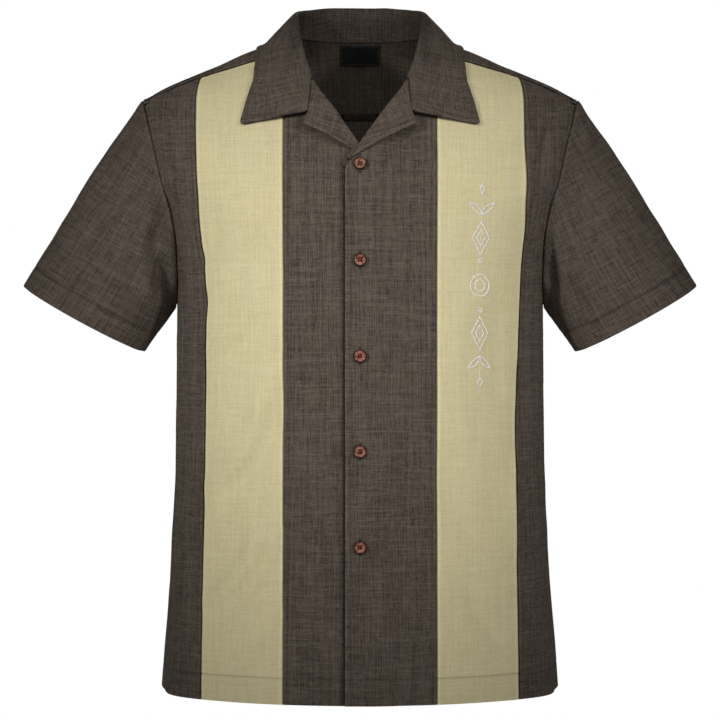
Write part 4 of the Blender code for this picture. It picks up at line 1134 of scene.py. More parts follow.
for side, word in ((1, "left"), (-1, "right")):
    points, *edges = laid_out(control, (sleeve_seam, sleeve_seam, LAPPED_EDGE, cuff_edge), THREAD_STEP)
    points[..., 0] *= side
    normals = normals_of(points)
    normals = normals * np.sign((normals * (points - np.array(SLEEVE_MIDDLE) * (side, 1, 1))).sum())
    x, z, seed = points[..., 0], points[..., 2], 53 + 10 * side
    relief = crease_relief(SLEEVE_CREASES[side], x, z) * ease((0.1 - normals[..., 1]) / 0.5)
    behind = crease_relief(SLEEVE_CREASES[-side], -x, z + 0.012)
    relief += 0.8 * behind * ease((normals[..., 1] + 0.1) / 0.5)
    relief *= ease((edges[2] - 0.004) / 0.012) * ease((edges[3] + 0.004) / 0.03)
    relief += uneven(edges[0], edges[2], 0.05, seed) * 0.0003
    head = ease((z + 0.125) / 0.04)
    sunk = 1 - ease((edges[2] + 0.0004 + 0.0006 * head) / (0.0024 - 0.0012 * head))
    raised = ease((edges[2] + 0.0003) / 0.0008) * bell(edges[2], 0.003, 0.012)
    relief += 0.0022 * head * raised - (0.0017 - 0.0005 * head) * sunk
    relief += groove(edges[2], 0, 0.0012, 0.0005) * (1 - 0.7 * head)
    relief += hem_edge(edges[3], edges[0], CUFF_STITCH, 0.0005, 0.021, 0.04, seed)
    for edge in edges[:2]:
        relief += groove(edge, 0, 0.001, 0.0005)
    points = points + normals * relief[..., None]
    weave = np.stack([(edges[0] - edges[1]) / 2 + 2 + side * 0.4, edges[3]], axis=2)
    # painted shade in the seams and along the cuff's stitches, and a painted highlight on the armhole's
    # turned edge
    painted_light = seam_painted_light(edges[2], UNDER_LAP, 0) + seam_painted_light(edges[0], 0, 1) + seam_painted_light(edges[1], 0, 1)
    painted_light -= 0.4 * bell(edges[3], CUFF_STITCH, STITCH_SHADE)
    flat = float(edges[0][-1].max()), float((edges[2] + edges[3]).max())
    sleeves[word] = cloth_piece(
        f"{word}_sleeve", points, normals, edges, weave, hem_wall(edges[3], CUFF_STITCH), painted_light, BROWN_CLOTH,
    )

# ------------------------------------------------------------
# Collar. A two-layer camp collar with a soft interlining, sewn to the neck edge. It stands up,
# folds over and lies back on the yoke and the fronts.
# ------------------------------------------------------------

COLLAR_ROWS = (  # the station along the neckline, then points of the fold and of the edge
    (0.0, (0.0, 0.086, 0.047), (0.0, 0.0985, -0.008)),
    (0.158, (0.03, 0.0805, 0.0462), (0.036, 0.093, -0.0085)),
    (0.307, (0.053, 0.062, 0.0415), (0.067, 0.0735, -0.009)),
    (0.484, (0.0655, 0.034, 0.036), (0.094, 0.048, -0.0115)),
    (0.67, (0.069, 0.009, 0.03), (0.109, 0.009, -0.0105)),
    (0.74, (0.0684, -0.003, 0.0255), (0.112, -0.016, -0.016)),
    (0.81, (0.0672, -0.015, 0.0195), (0.114, -0.04, -0.0275)),
    (0.915, (0.065, -0.036, 0.005), (0.117, -0.07, -0.053)),
    (1.0, (0.0615, -0.056, -0.013), (0.121, -0.079, -0.068)),
    (-0.034, (0.058, -0.074, -0.031), (0.126, -0.088, -0.086)),
    (-0.0598, None, (0.131, -0.096, -0.1054)),
)
COLLAR_ROLL = 0.003
COLLAR_BELLY = 0.0008
COLLAR_STANDOFF = 0.0027
COLLAR_CLOTH = 0.002
COLLAR_LEAF = (0.06, 0.18, 0.34, 0.52, 0.7, 0.86, 1.0)
COLLAR_SEAT = 0.0015  # how far inside the neck edge it is sewn on
NOTCH_COLUMN = 3  # which of the leaf's points is the notch, at the collar's front end
GORGE_HEIGHT = -0.06
GORGE = (  # the collar and lapel's seam and the lapel's end: across, up and stand-off
    (0.0535, -0.0785, 0.0112),
    (0.056, -0.0958, 0.0112),
    (0.061, -0.1093, 0.012),
)
ROLL_RADIUS = 0.0022
COLLAR_STITCH = 0.006
COLLAR_STEP = 0.003
COLLAR_CORNER = 0.0058  # how round its points are
FRONTS_FROM = -0.03  # in front of this depth the collar lies on the fronts
LEAF_SINK = 0.0006  # how much closer it may lie near its front ends
CLEAR_SOFT = 0.001  # over what distance a point moved off the form eases in
COLLAR_RIM = (0, 0.0003, 0.0008, 0.0016, 0.003, 0.0048, COLLAR_STITCH, 0.0072, 0.0095)


def stand_off(x, height, distance):
    """A point that far off the front of the body form, with x towards its own side."""
    flat = on_form(x, height, False)
    return flat + outward(flat) * distance


def clear_of_form(point, distance):
    """Moves a point out, softly, until it stands at least that far off the body form."""
    wide, deep = body("half_width", point.z), body(depth_column(point.y), point.z)
    normal = outward(point)
    off = (1 - 1 / math.hypot(point.x / wide, point.y / deep)) * Vector((point.x, point.y, 0)).dot(normal)
    past = math.log1p(math.exp(min((distance - off) / CLEAR_SOFT, 40.0)))
    return point + normal * (CLEAR_SOFT * past)


def edge_frame(at, before, after, normal):
    """A place on a neck edge, its outward normal and the way into the opening."""
    along = (after - before).normalized()
    normal = (normal - along * normal.dot(along)).normalized()
    opening = normal.cross(along)
    return at, normal, -opening if opening.x > 0 else opening


def front_frame(side, height):
    """The frame on a front's cut edge at a height."""
    at, before, after = (
        front_point(side, front_edge_length(h), h) for h in (height, height - 0.002, height + 0.002)
    )
    inner = front_point(side, front_edge_length(height) + 0.006, height)
    normal = (inner - at).cross(after - before).normalized()
    return edge_frame(at, before, after, -normal if normal.y > 0 else normal)


def yoke_frame(share):
    """The frame on the yoke's neckline, at a share of the way from the centre back to the front."""
    line = neckline_plan()[::-1]
    place = []
    for nearby in (share - 0.01, share, share + 0.01):
        plan = spread_along(line, [abs(nearby)])[0]
        plan.x = math.copysign(plan.x, nearby)
        place.append(Vector((plan.x, plan.y, top_of_form(plan.x, plan.y))))
    at, normal, opening = edge_frame(place[1], place[0], place[2], outward(place[1]))
    return at, normal, -opening if opening.dot(Vector((-at.x, -at.y, 0.0))) < 0 else opening


def bent(start, control, end, share):
    """A point of the curve that leaves start towards control and arrives at end from it."""
    return start * (1 - share) ** 2 + control * (2 * share * (1 - share)) + end * share**2


def leaf_clearance(point):
    """How far the collar's visible face stands off the body form at least."""
    return COLLAR_STANDOFF + (front_lift(-1, point.x, point.z) if point.y < FRONTS_FROM else 0.0)


def collar_section(row):
    """The collar's visible face at a section: up the inside, over the fold, down to the edge."""
    station, fold, edge = row
    at, normal, opening = yoke_frame(station) if station >= 0 else front_frame(-1, station)
    fold, edge = Vector(fold), Vector(edge)
    up = (fold - at).normalized()
    beside = (up * opening.dot(up) - opening).normalized()
    clearance = 2 * SEAM_GAP + COLLAR_CLOTH * max(0.0, -beside.dot(opening))
    base = at + opening * clearance - normal * COLLAR_SEAT
    up = (fold - base).normalized()
    fall = edge - fold
    away = (fall - up * fall.dot(up)).normalized()
    last = math.degrees(math.atan2(fall.dot(away), -fall.dot(up)))
    centre = fold - up * COLLAR_ROLL + away * COLLAR_ROLL
    points = [base, base.lerp(centre - away * COLLAR_ROLL, 0.5)]
    for angle in np.radians(np.linspace(180, last, 5)):
        points.append(centre + (away * math.cos(angle) + up * math.sin(angle)) * COLLAR_ROLL)
    leaf = points[-1]
    out = fall.cross(Vector((-fall.y, fall.x, 0.0))).normalized()
    out = -out if out.dot(away) < 0 else out
    for share in COLLAR_LEAF:
        flat = leaf.lerp(edge, share) + out * (COLLAR_BELLY * math.sin(math.pi * share))
        points.append(clear_of_form(flat, leaf_clearance(flat)))
    return points


def gorge_point(share):
    """The seam of collar and lapel, from the roll to the notch, and on to the lapel's tip at 2."""
    at, normal, opening = front_frame(-1, GORGE_HEIGHT)
    start = at + normal * (ROLL_RADIUS + SEAM_GAP) - opening * 0.0004
    middle, notch, tip = (stand_off(*place) for place in GORGE)
    if share > 1:
        return notch.lerp(tip, share - 1)
    return bent(start, middle * 2 - (start + notch) / 2, notch, share)


def roll_points(at, normal, opening):
    """How the lapel and the collar's end wrap the front's cut edge."""
    points = [at + opening * ROLL_RADIUS - normal * COLLAR_SEAT]
    for angle in np.radians(np.linspace(0, 90, 4)):
        points.append(at + (opening * math.cos(angle) + normal * math.sin(angle)) * ROLL_RADIUS)
    return points


def collar_end():
    """The collar's front end, over the roll, down the gorge and out along its front edge."""
    wrapped = roll_points(*front_frame(-1, COLLAR_ROWS[-1][0]))
    points = wrapped[:1] + [wrapped[0].lerp(wrapped[1], 0.5)] + wrapped[1:]
    points.append(gorge_point(0.04))
    edge = Vector(COLLAR_ROWS[-1][2])
    for k in range(len(COLLAR_LEAF)):
        if k <= NOTCH_COLUMN:
            points.append(gorge_point((k + 1) / (NOTCH_COLUMN + 1)))
        else:
            share = (k - NOTCH_COLUMN) / (len(COLLAR_LEAF) - 1 - NOTCH_COLUMN)
            flat = gorge_point(1).lerp(edge, share)
            points.append(clear_of_form(flat, leaf_clearance(flat)))
    return points


def rim_relief(distance, stitched=1):
    """A turned and stitched rim of the collar or a lapel. stitched is 0 where it isn't."""
    return groove(distance, 0, 0.0012, 0.0006) + groove(distance, COLLAR_STITCH, 0.0009, 0.00025) * stitched


# Painted highlight along a turned rim and painted shade along its row of stitches.
def rim_painted_light(distance):
    return 0.1 * bell(distance, 0, 0.002) - 0.22 * bell(distance, COLLAR_STITCH, 0.0012)


def clear_leaf(section, sunk):
    """A section whose leaf stands clear of the body form, but for the distance it may sink."""
    leaf_from = len(section) - len(COLLAR_LEAF)
    leaf = [clear_of_form(point, leaf_clearance(point) - sunk) for point in section[leaf_from:]]
    return section[:leaf_from] + leaf


def halfway_section(before, first, second, after):
    """The section halfway between the first and the second, with the run of their neighbours."""
    return [(b + c) * 0.5625 - (a + d) * 0.0625 for a, b, c, d in zip(before, first, second, after)]


sections = [collar_section(row) for row in COLLAR_ROWS[:-1]]
front_end, last_whole = collar_end(), sections[-1]
for share in (0.33, 0.67):
    middle = [a.lerp(b, share) for a, b in zip(last_whole, front_end)]
    at, normal, opening = front_frame(-1, mix(COLLAR_ROWS[-2][0], COLLAR_ROWS[-1][0], share))
    middle[0] = at + opening * (4 * SEAM_GAP + COLLAR_CLOTH) - normal * COLLAR_SEAT
    middle[1] = middle[0].lerp(middle[2], 0.5)
    sections.append(clear_leaf(middle, LEAF_SINK))
sections.append(front_end)
control = []
for k, section in enumerate(sections[:-1]):
    control.append(section)
    if k < len(sections) - 4:
        before = sections[k - 1] if k else mirrored(sections[1])
        halfway = halfway_section(before, section, sections[k + 1], sections[k + 2])
        control.append(clear_leaf(halfway, 0))
control.append(sections[-1])
control = [[tuple(p) for p in line] for line in [mirrored(line) for line in control[:0:-1]] + control]
points, *edges = laid_out(
    control, (COLLAR_RIM, COLLAR_RIM, COVERED_EDGE, COLLAR_RIM), COLLAR_STEP, ((0, 3), (1, 3)),
    COLLAR_CORNER,
)
normals = normals_of(points)
normals = normals if normals[len(points) // 2, -1, 1] > 0 else -normals
from_front, from_rim = np.minimum(edges[0], edges[1]), edges[3]
past_notch = ease((0.047 - from_rim) / 0.004)
relief = uneven(points[..., 0], points[..., 2] + points[..., 1], 0.045, 71) * 0.0003
relief += rim_relief(from_rim) + rim_relief(from_front, past_notch)
# painted highlight on the rim, painted shade along the stitches and along the gorge seam
painted_light = rim_painted_light(from_rim) - 0.22 * bell(from_front, COLLAR_STITCH, 0.0012) * past_notch
# painted shade over the stand at the back of the neck, away from the front ends
painted_light -= 0.34 * (1 - ease((from_front - 0.075) / -0.04)) * (1 - ease((edges[2] - 0.02) / 0.025))
painted_light -= 0.6 * bell(from_front, 0, 0.0012) * (1 - past_notch)
points = points + normals * relief[..., None]
weave = np.stack([(edges[0] - edges[1]) / 2 + 3, from_rim], axis=2)
around = float(np.linalg.norm(np.diff(points[:, -1], axis=0), axis=1).sum())
flat = around, float((edges[2] + edges[3]).max())
collar = cloth_piece(
    "collar", points, normals, edges, weave, COLLAR_CLOTH, painted_light, BROWN_CLOTH,
)

# ------------------------------------------------------------
# Lapels. Each front's top, faced with the same cloth, rolls over its own edge and lies back on
# the front; the collar is sewn to it along the gorge, and its lower edge runs to the top button.
# ------------------------------------------------------------

BREAK_HEIGHT = -0.15  # where the lapels begin to turn back
LAPEL_CLOTH = 0.0018
LAPEL_STEP = 0.0024
LAPEL_CORNER = 0.003  # how round its tip is
LAPEL_EDGE = (  # from the break to the tip: across, up and stand-off of the visible face
    (-0.0135, -0.1485, 0.0062),
    (0.0054, -0.1375, 0.0085),
    (0.0219, -0.1285, 0.0105),
    (0.0418, -0.1185, 0.012),
    (0.061, -0.1093, 0.012),
)
LAPEL_COLUMNS = (0.125, 0.25, 0.375, 0.5, 0.75, 1.0)
LAPELS = (  # side, word, where it starts, how far up it is pressed flat under the other front
    (1, "left", 0.02, -0.35),
    (-1, "right", 0.12, 0.22),
)


def along_polyline(rows, share):
    place = share * (len(rows) - 1)
    i = min(int(place), len(rows) - 2)
    return [mix(a, b, place - i) for a, b in zip(rows[i], rows[i + 1])]


def lapel_point(side, share, i, tuck):
    """A point of a lapel at a share of its height; i counts over the roll, then out to its edge."""
    height = mix(BREAK_HEIGHT, GORGE_HEIGHT - SEAM_GAP, share)
    wrapped = roll_points(*front_frame(side, height))
    if i < len(wrapped):
        return wrapped[i]
    x1, z1, off = along_polyline(LAPEL_EDGE, share)
    least = front_lift(side, x1, z1) + ROLL_RADIUS
    off = mix(least, max(off + front_lift(side, x1, z1) * 0.3, least), ease((share - tuck) / 0.35))
    edge = stand_off(x1, z1, off)
    out = LAPEL_COLUMNS[i - len(wrapped)]
    top = wrapped[-1]
    opening = front_frame(side, height)[2]
    free = bent(top, top - opening * (0.35 * (edge - top).length), edge, out)
    end = gorge_point(2 * out)
    bow = end - gorge_point(0).lerp(gorge_point(2), out)
    point = free.lerp(top.lerp(edge, out) + bow * share**2, ease((share - 0.2) / 0.6))
    return end + gorge_shift if share == 1 else point


gorge_shift = gorge_point(1) - gorge_point(0)
gorge_shift = Vector((gorge_shift.z, 0.0, -gorge_shift.x)).normalized() * (2 * SEAM_GAP)
roll_foot = np.array([-0.016, -0.156])  # the roll line as seen from the front
roll_way = Vector((0.073, 0.0995)).normalized()
gorge_rows = (0, 0.0004, 0.001, 0.002, 0.005, 0.0062, 0.008)
lapel_rows = ((0, 0.001, 0.0025), COLLAR_RIM, COVERED_EDGE, gorge_rows)
lapels = {}
for side, word, start, tuck in LAPELS:
    control = [
        [tuple(lapel_point(side, mix(start, 1.0, j / 10), i, tuck)) for j in range(11)] for i in range(11)
    ]
    points, *edges = laid_out(control, lapel_rows, LAPEL_STEP, ((1, 3),), LAPEL_CORNER)
    normals = normals_of(points)
    if normals[len(points) // 2, points.shape[1] // 2, 1] > 0:
        normals = -normals
    relief = uneven(points[..., 0], points[..., 2], 0.04, 83 + side) * 0.00025
    relief += rim_relief(edges[1]) + groove(edges[3], 0, 0.0012, 0.0006)
    free_end = ease((points[..., 0] - 0.052) / 0.003)
    # painted highlight on the rim, painted shade along its stitches and the gorge seam
    painted_light = rim_painted_light(edges[1]) - 0.6 * bell(edges[3], 0, 0.0012) * (1 - free_end)
    points = points + normals * relief[..., None]
    flat = points[..., [0, 2]] - roll_foot
    along = flat @ np.array(roll_way)
    weave = 2 * along[..., None] * np.array(roll_way) - flat
    points[..., 0] *= side
    normals[..., 0] *= side
    around = np.linalg.norm(np.diff(points, axis=0), axis=2).sum(axis=0).max()
    lapels[word] = cloth_piece(
        f"{word}_lapel", points, normals, edges, weave + 5 + side * 0.2, LAPEL_CLOTH, painted_light, BROWN_CLOTH,
    )

# ------------------------------------------------------------
# Topstitching. Dark brown thread in short, even lockstitches beside the panel seams, down the
# buttoning edge, round the hems, the collar and the lapels, and along the yoke's seams.
# ------------------------------------------------------------

STITCH_LENGTH = 0.0019
STITCH_PITCH = 0.0026
THREAD_WIDTH = 0.00048
THREAD_HEIGHT = 0.00042
BEAD_BATCH = 60  # small batches are made much faster
EDGE_STITCH_TOP = -0.157  # where the buttoning edge's row begins, under the lapel
BACK_SEAM_FROM = 0.068  # how far back the yoke's last row begins
NOTCH_DOWN = 0.045  # how far up the collar's front edge its row goes
LAPEL_PLAIN = 6  # how many places at the gorge the lapel's row leaves out
LAPEL_END_FROM = 0.0575  # how far across the row along the lapel's free top begins


def thread_material(name, colour, pale, roughness, sheen):
    """Spun thread whose twist shows as fine light and dark."""
    made, tree, surface = new_material(name)
    twist = noise(tree, tree.nodes.new("ShaderNodeTexCoord").outputs["Object"], 2600.0)
    feed(tree, surface, {
        "Base Color": blended(tree, between(tree, twist, 0.35, 0.7), (*colour, 1), (*pale, 1)),
        "Normal": bump(tree, twist, 0.4, 0.0002),
        "Roughness": roughness,
        "Sheen Weight": sheen,
    })
    return made


def line_at(piece, edge, value):
    """Points and normals of a piece's grid at that distance from one of its four edges."""
    grids = (piece["points"], piece["normals"], piece["edges"][edge])
    points, normals, distance = (np.swapaxes(grid, 0, 1) for grid in grids) if edge > 1 else grids
    both = np.concatenate([points, normals], axis=2)
    found = []
    for line in range(points.shape[1]):
        order = np.argsort(distance[:, line], kind="stable")
        found.append([np.interp(value, distance[order, line], both[order, line, n]) for n in range(6)])
    found = np.array(found)
    return found[:, :3], found[:, 3:] / np.linalg.norm(found[:, 3:], axis=1, keepdims=True)


def reach_of(places):
    """How far along a line each row of an array is."""
    return np.concatenate([[0], np.cumsum(np.linalg.norm(np.diff(places, axis=0), axis=1))])


def stitch_places(line, pitch=STITCH_PITCH):
    """Places, ways and normals of the stitches along a line."""
    points, normals = line
    reach = reach_of(points)
    count = max(int(reach[-1] / pitch), 1)
    at = (np.arange(count) + 0.5) * (reach[-1] / count)
    half = min(pitch, reach[-1]) / 3

    def found(where, values):
        return np.stack([np.interp(where, reach, values[:, n]) for n in range(3)], 1)

    ways = found(at + half, points) - found(at - half, points)
    rows = zip(found(at, points), ways, found(at, normals))
    return [(Vector(p), Vector(w).normalized(), Vector(n).normalized()) for p, w, n in rows]


def stitches(line, lift, sizes, pitch=STITCH_PITCH):
    """Beads of thread for the stitches along a line, each a little off the cloth."""
    return [(p + n * lift, way, n, *sizes) for p, way, n in stitch_places(line, pitch)]


def thread_piece(name, beads, material):
    """One mesh of many short lengths of thread: each has a place, way, normal and three sizes."""
    mesh = bpy.data.meshes.new(name)
    whole = bmesh.new()
    for first in range(0, len(beads), BEAD_BATCH):
        form = bmesh.new()
        for place, way, normal, long, wide, high in beads[first: first + BEAD_BATCH]:
            normal = (normal - way * normal.dot(way)).normalized()
            across = normal.cross(way)
            turn = Matrix((way * long, across * wide, normal * high)).transposed().to_4x4()
            matrix = Matrix.Translation(place) @ turn
            bmesh.ops.create_icosphere(form, subdivisions=1, radius=0.5, matrix=matrix)
        form.to_mesh(mesh)
        form.free()
        whole.from_mesh(mesh)
    whole.to_mesh(mesh)
    whole.free()
    on_shirt(name, mesh, material)


def part_of(line, wanted):
    return line[0][wanted], line[1][wanted]


BROWN_THREAD = thread_material("brown_thread", (0.03, 0.022, 0.017), (0.066, 0.052, 0.042), 0.7, 0.1)
rows = []
for node, strip in strips.items():
    rows.append(line_at(strip, 2, HEM_DEPTH))
    if "centre" in node:
        rows.append(line_at(strip, 1, STITCH_FROM_SEAM))
        edge = line_at(strip, 0, STITCH_FROM_EDGE)
        rows.append(part_of(edge, edge[0][:, 2] < EDGE_STITCH_TOP))
    if "side" in node:
        rows.append(line_at(strip, 0, STITCH_FROM_SEAM))
rows.append(line_at(back, 2, HEM_DEPTH))
rows += [line_at(sleeve, 3, CUFF_STITCH) for sleeve in sleeves.values()]
rows += [line_at(yoke, end, STITCH_FROM_SEAM) for end in (0, 1)]
seam = line_at(yoke, 3, STITCH_FROM_SEAM)
seam = part_of(seam, seam[0][:, 1] > BACK_SEAM_FROM)
rows += [seam, (seam[0] - seam[1] * CLOTH, -seam[1])]
whole_row = COLLAR_STITCH - 1e-4  # a rim's stitches begin where the next rim's would cross them
ends = np.minimum(*collar["edges"][:2])[:, -1]
rows.append(part_of(line_at(collar, 3, COLLAR_STITCH), ends >= whole_row))
down = collar["edges"][3][len(collar["points"]) // 2]
for end in (0, 1):
    rows.append(part_of(line_at(collar, end, COLLAR_STITCH), (down >= whole_row) & (down < NOTCH_DOWN)))
for lapel in lapels.values():
    edge = line_at(lapel, 1, COLLAR_STITCH)
    rows.append(part_of(edge, np.arange(len(edge[0])) < len(edge[0]) - LAPEL_PLAIN))
    edge = line_at(lapel, 3, COLLAR_STITCH)
    rows.append(part_of(edge, np.abs(edge[0][:, 0]) > LAPEL_END_FROM))
beads = []
for row in rows:
    if len(row[0]) > 1:
        beads += stitches(row, 0.00006, (STITCH_LENGTH, THREAD_WIDTH, THREAD_HEIGHT))
thread_piece("topstitching", beads, BROWN_THREAD)

# ------------------------------------------------------------
# Buttons. Five four-hole buttons of mottled horn-like plastic with a raised rim, darkened partly in its own
# colour and partly by painted shadow, sewn to the left front over their buttonholes, which are worked in
# satin stitch.
# ------------------------------------------------------------

TOP_BUTTON_HEIGHT = -0.152
BUTTON_SPACING = 0.1018
BUTTON_COUNT = 5
BUTTON_SEAT = 0.0005
BUTTON_PLATE = 0.0043  # radius of the sunk middle
BUTTON_SUNK = 0.0021
BUTTON_RIM = (  # radius and height from the sunk middle over the rim to the back
    (0.0043, 0.0021),
    (0.0046, 0.0023),
    (0.005, 0.0028),
    (0.0055, 0.003),
    (0.0061, 0.003),
    (0.0066, 0.0027),
    (0.0069, 0.0021),
    (0.007, 0.0015),
    (0.0067, 0.0007),
    (0.0059, 0.0002),
    (0.0043, 0.0),
)
BUTTON_STEPS = 56
HOLE_STEPS = 14
HOLE_RADIUS = 0.00115
HOLE_PLACE = 0.0019  # how far a hole's middle is from the button's
BUTTON_TURN = 0.16  # how far one button is turned from the next, in radians
HORN_DARK = (0.13, 0.036, 0.023, 1)
HORN_PALE = (0.345, 0.15, 0.096, 1)
HORN_RIM_AND_SHADOW = (0.009, 0.004, 0.003, 1)
RIM_AND_SHADOW_RADII = (0.0056, 0.006)  # between these radii the horn turns to the rim's dark colour, partly its own and partly painted shadow
BUTTONHOLE_LENGTH = 0.0172
BUTTONHOLE_SIDE = 0.00085
BUTTONHOLE_PITCH = 0.00045
BUTTONHOLE_STITCHES = int(BUTTONHOLE_LENGTH / BUTTONHOLE_PITCH)
BUTTONHOLE_STITCH = (0.0014, 0.0005, 0.0005)  # length, width and height
BUTTONHOLE_BAR = (0.003, 0.0005, 0.0006)


def circle_edges(form, segments, radius, place):
    made = bmesh.ops.create_circle(
        form, cap_ends=False, segments=segments, radius=radius, matrix=Matrix.Translation(place)
    )["verts"]
    return list(dict.fromkeys(edge for vertex in made for edge in vertex.link_edges))


def button_form():
    """A button turned about +Z, its back at the origin."""
    form = bmesh.new()
    loops = []
    for height in (BUTTON_SUNK, 0.0):
        rim = circle_edges(form, BUTTON_STEPS, BUTTON_PLATE, (0, 0, height))
        holes = []
        for k in range(4):
            angle = math.radians(45 + 90 * k)
            place = (math.cos(angle) * HOLE_PLACE, math.sin(angle) * HOLE_PLACE, height)
            holes.append(circle_edges(form, HOLE_STEPS, HOLE_RADIUS, place))
        loops.append(holes)
        bmesh.ops.triangle_fill(form, use_beauty=True, edges=rim + sum(holes, []))
    for top, bottom in zip(*loops):
        bmesh.ops.bridge_loops(form, edges=top + bottom)
    outline = [form.verts.new((radius, 0, height)) for radius, height in BUTTON_RIM]
    edges = [form.edges.new(pair) for pair in zip(outline, outline[1:])]
    bmesh.ops.spin(
        form, geom=outline + edges, cent=(0, 0, 0), axis=(0, 0, 1), angle=math.tau,
        steps=BUTTON_STEPS, use_merge=True,
    )
    bmesh.ops.remove_doubles(form, verts=form.verts[:], dist=2e-5)
    bmesh.ops.recalc_face_normals(form, faces=form.faces[:])
    form.verts.index_update()
    for parts in (form.edges, form.faces):  # their order is another one in each run
        order = sorted(parts, key=lambda part: sorted(vertex.index for vertex in part.verts))
        parts.sort(key={part: k for k, part in enumerate(order)}.get)
    return form


def button_material():
    """Mottled brown horn: paler clouds, a dark rim that is partly its own colour and partly painted shadow,
    and a soft gloss.
    """
    made, tree, surface = new_material("mottled_button")
    place = tree.nodes.new("ShaderNodeTexCoord").outputs["Object"]
    cloud = noise(tree, place, 260.0, 3.0, 1.2)
    flat_place = add_node(tree, "UVMap", uv_map="round").outputs[0]
    radius = add_node(tree, "VectorMath", {0: flat_place}, operation="LENGTH").outputs["Value"]
    # the dark rim is partly the horn's own colour and partly painted shadow round the button's edge
    rim = between(tree, radius, *RIM_AND_SHADOW_RADII)
    mottled = blended(tree, between(tree, cloud, 0.4, 0.62), HORN_DARK, HORN_PALE)
    feed(tree, surface, {
        "Base Color": blended(tree, rim, mottled, HORN_RIM_AND_SHADOW),
        "Roughness": sum_up(tree, "MULTIPLY_ADD", rim, 0.55, sum_up(tree, "MULTIPLY_ADD", cloud, 0.14, 0.3)),
        "Specular IOR Level": 0.22,
        "Normal": bump(tree, noise(tree, place, 1500.0), 0.06, 0.0002),
    })
    return made


def nearest(piece, length, height):
    """Point and normal of a front at a cloth length and a height."""
    miss = (piece["across"] - length) ** 2 + (piece["up"] - height) ** 2
    i, j = np.unravel_index(np.argmin(miss), miss.shape)
    i = min(max(i, 1), miss.shape[0] - 2)
    j = min(max(j, 1), miss.shape[1] - 2)
    grid = piece["points"]
    across = (grid[i + 1, j] - grid[i - 1, j]) / (piece["across"][i + 1, j] - piece["across"][i - 1, j])
    up = (grid[i, j + 1] - grid[i, j - 1]) / (piece["up"][i, j + 1] - piece["up"][i, j - 1])
    place = grid[i, j] + across * (length - piece["across"][i, j]) + up * (height - piece["up"][i, j])
    return Vector(place), Vector(piece["normals"][i, j]).normalized()


MOTTLED_BUTTON = button_material()
BUTTON_THREAD = thread_material("button_thread", (0.02, 0.013, 0.01), (0.06, 0.042, 0.03), 0.8, 0.05)
CENTRE_FRONT = strips["left_centre_front"]
beads = []
for k in range(BUTTON_COUNT):
    height = TOP_BUTTON_HEIGHT - k * BUTTON_SPACING
    reach = BUTTON_RIM[7][0]
    seat = front_point(1, 0.0, height)
    across = front_point(1, reach, height) - front_point(1, -reach, height)
    up = front_point(1, 0.0, height + reach) - front_point(1, 0.0, height - reach)
    facing = across.cross(up).normalized()
    turned = facing.to_track_quat("Z", "Y").to_matrix() @ Matrix.Rotation(BUTTON_TURN * (k % 3 - 1), 3, "Z")
    form = button_form()
    mesh = bpy.data.meshes.new(f"horn_button_{k + 1}")
    form.to_mesh(mesh)
    form.free()
    round_places = mesh.uv_layers.new(name="round")
    for corner in mesh.loops:
        round_places.data[corner.index].uv = mesh.vertices[corner.vertex_index].co.xy
    mesh.transform(Matrix.Translation(seat + facing * BUTTON_SEAT) @ turned.to_4x4())
    button = on_shirt(mesh.name, mesh, MOTTLED_BUTTON)
    mesh.set_sharp_from_angle(angle=math.radians(42))
    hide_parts(f"button_{k + 1}")
    across, up = turned.col[0], turned.col[1]
    for slant in (1, -1):
        way = (across * slant + up).normalized()
        sizes = (2 * HOLE_PLACE + 0.001, 0.00026, 0.0005 + 0.0001 * slant)
        for shift in (-0.00013, 0.00013):
            place = seat + facing * (BUTTON_SEAT + BUTTON_SUNK + 0.0001) + facing.cross(way) * shift
            beads.append((place, way, facing, *sizes))
    rows = []
    for way in (-1, 1):
        for n in range(BUTTONHOLE_STITCHES):
            up_by = (n / (BUTTONHOLE_STITCHES - 1) - 0.5) * BUTTONHOLE_LENGTH
            rows.append((way * BUTTONHOLE_SIDE, up_by, 0.00005, BUTTONHOLE_STITCH))
    for way in (-1, 1):
        for n in range(4):
            up_by = way * (BUTTONHOLE_LENGTH / 2 + (n - 1) * BUTTONHOLE_PITCH)
            rows.append((0.0, up_by, 0.0001, BUTTONHOLE_BAR))
    for length, up_by, lift, sizes in rows:
        place, normal = nearest(CENTRE_FRONT, length, height + up_by)
        beads.append((place + normal * lift, Vector((1, 0, 0)), normal, *sizes))
thread_piece("button_threads_and_buttonholes", beads, BUTTON_THREAD)

# ------------------------------------------------------------
# Neck label. A plain black woven label with folded ends, inside the yoke under the neck seam,
# edged with one line of fine stitches.
# ------------------------------------------------------------

LABEL_HALF_WIDTH = 0.023
LABEL_TOP = 0.003
LABEL_BOTTOM = -0.0195
LABEL_FACE = 0.0027  # from the yoke's outer face in to the label's own face
LABEL_CLOTH = 0.0008


def label_material():
    """Black satin with fine ribs and a few paler specks of thread."""
    made, tree, surface = new_material("black_satin_label")
    place = add_node(tree, "UVMap", uv_map="weave").outputs[0]
    across, along = add_node(tree, "SeparateXYZ", {0: place}).outputs[:2]
    height = sum_up(tree, "MULTIPLY_ADD", ribs(tree, across, 0.0003), 0.3, ribs(tree, along, 0.00042))
    speck = threads(tree, along, across, 0.0006, 0.006, 2.0, 0.45, 0.75)
    feed(tree, surface, {
        "Base Color": blended(tree, speck, (0.004, 0.004, 0.0045, 1), (0.014, 0.014, 0.015, 1)),
        "Normal": bump(tree, height, 0.3, 0.0001),
        "Roughness": 0.55,
        "Specular IOR Level": 0.3,
    })
    return made


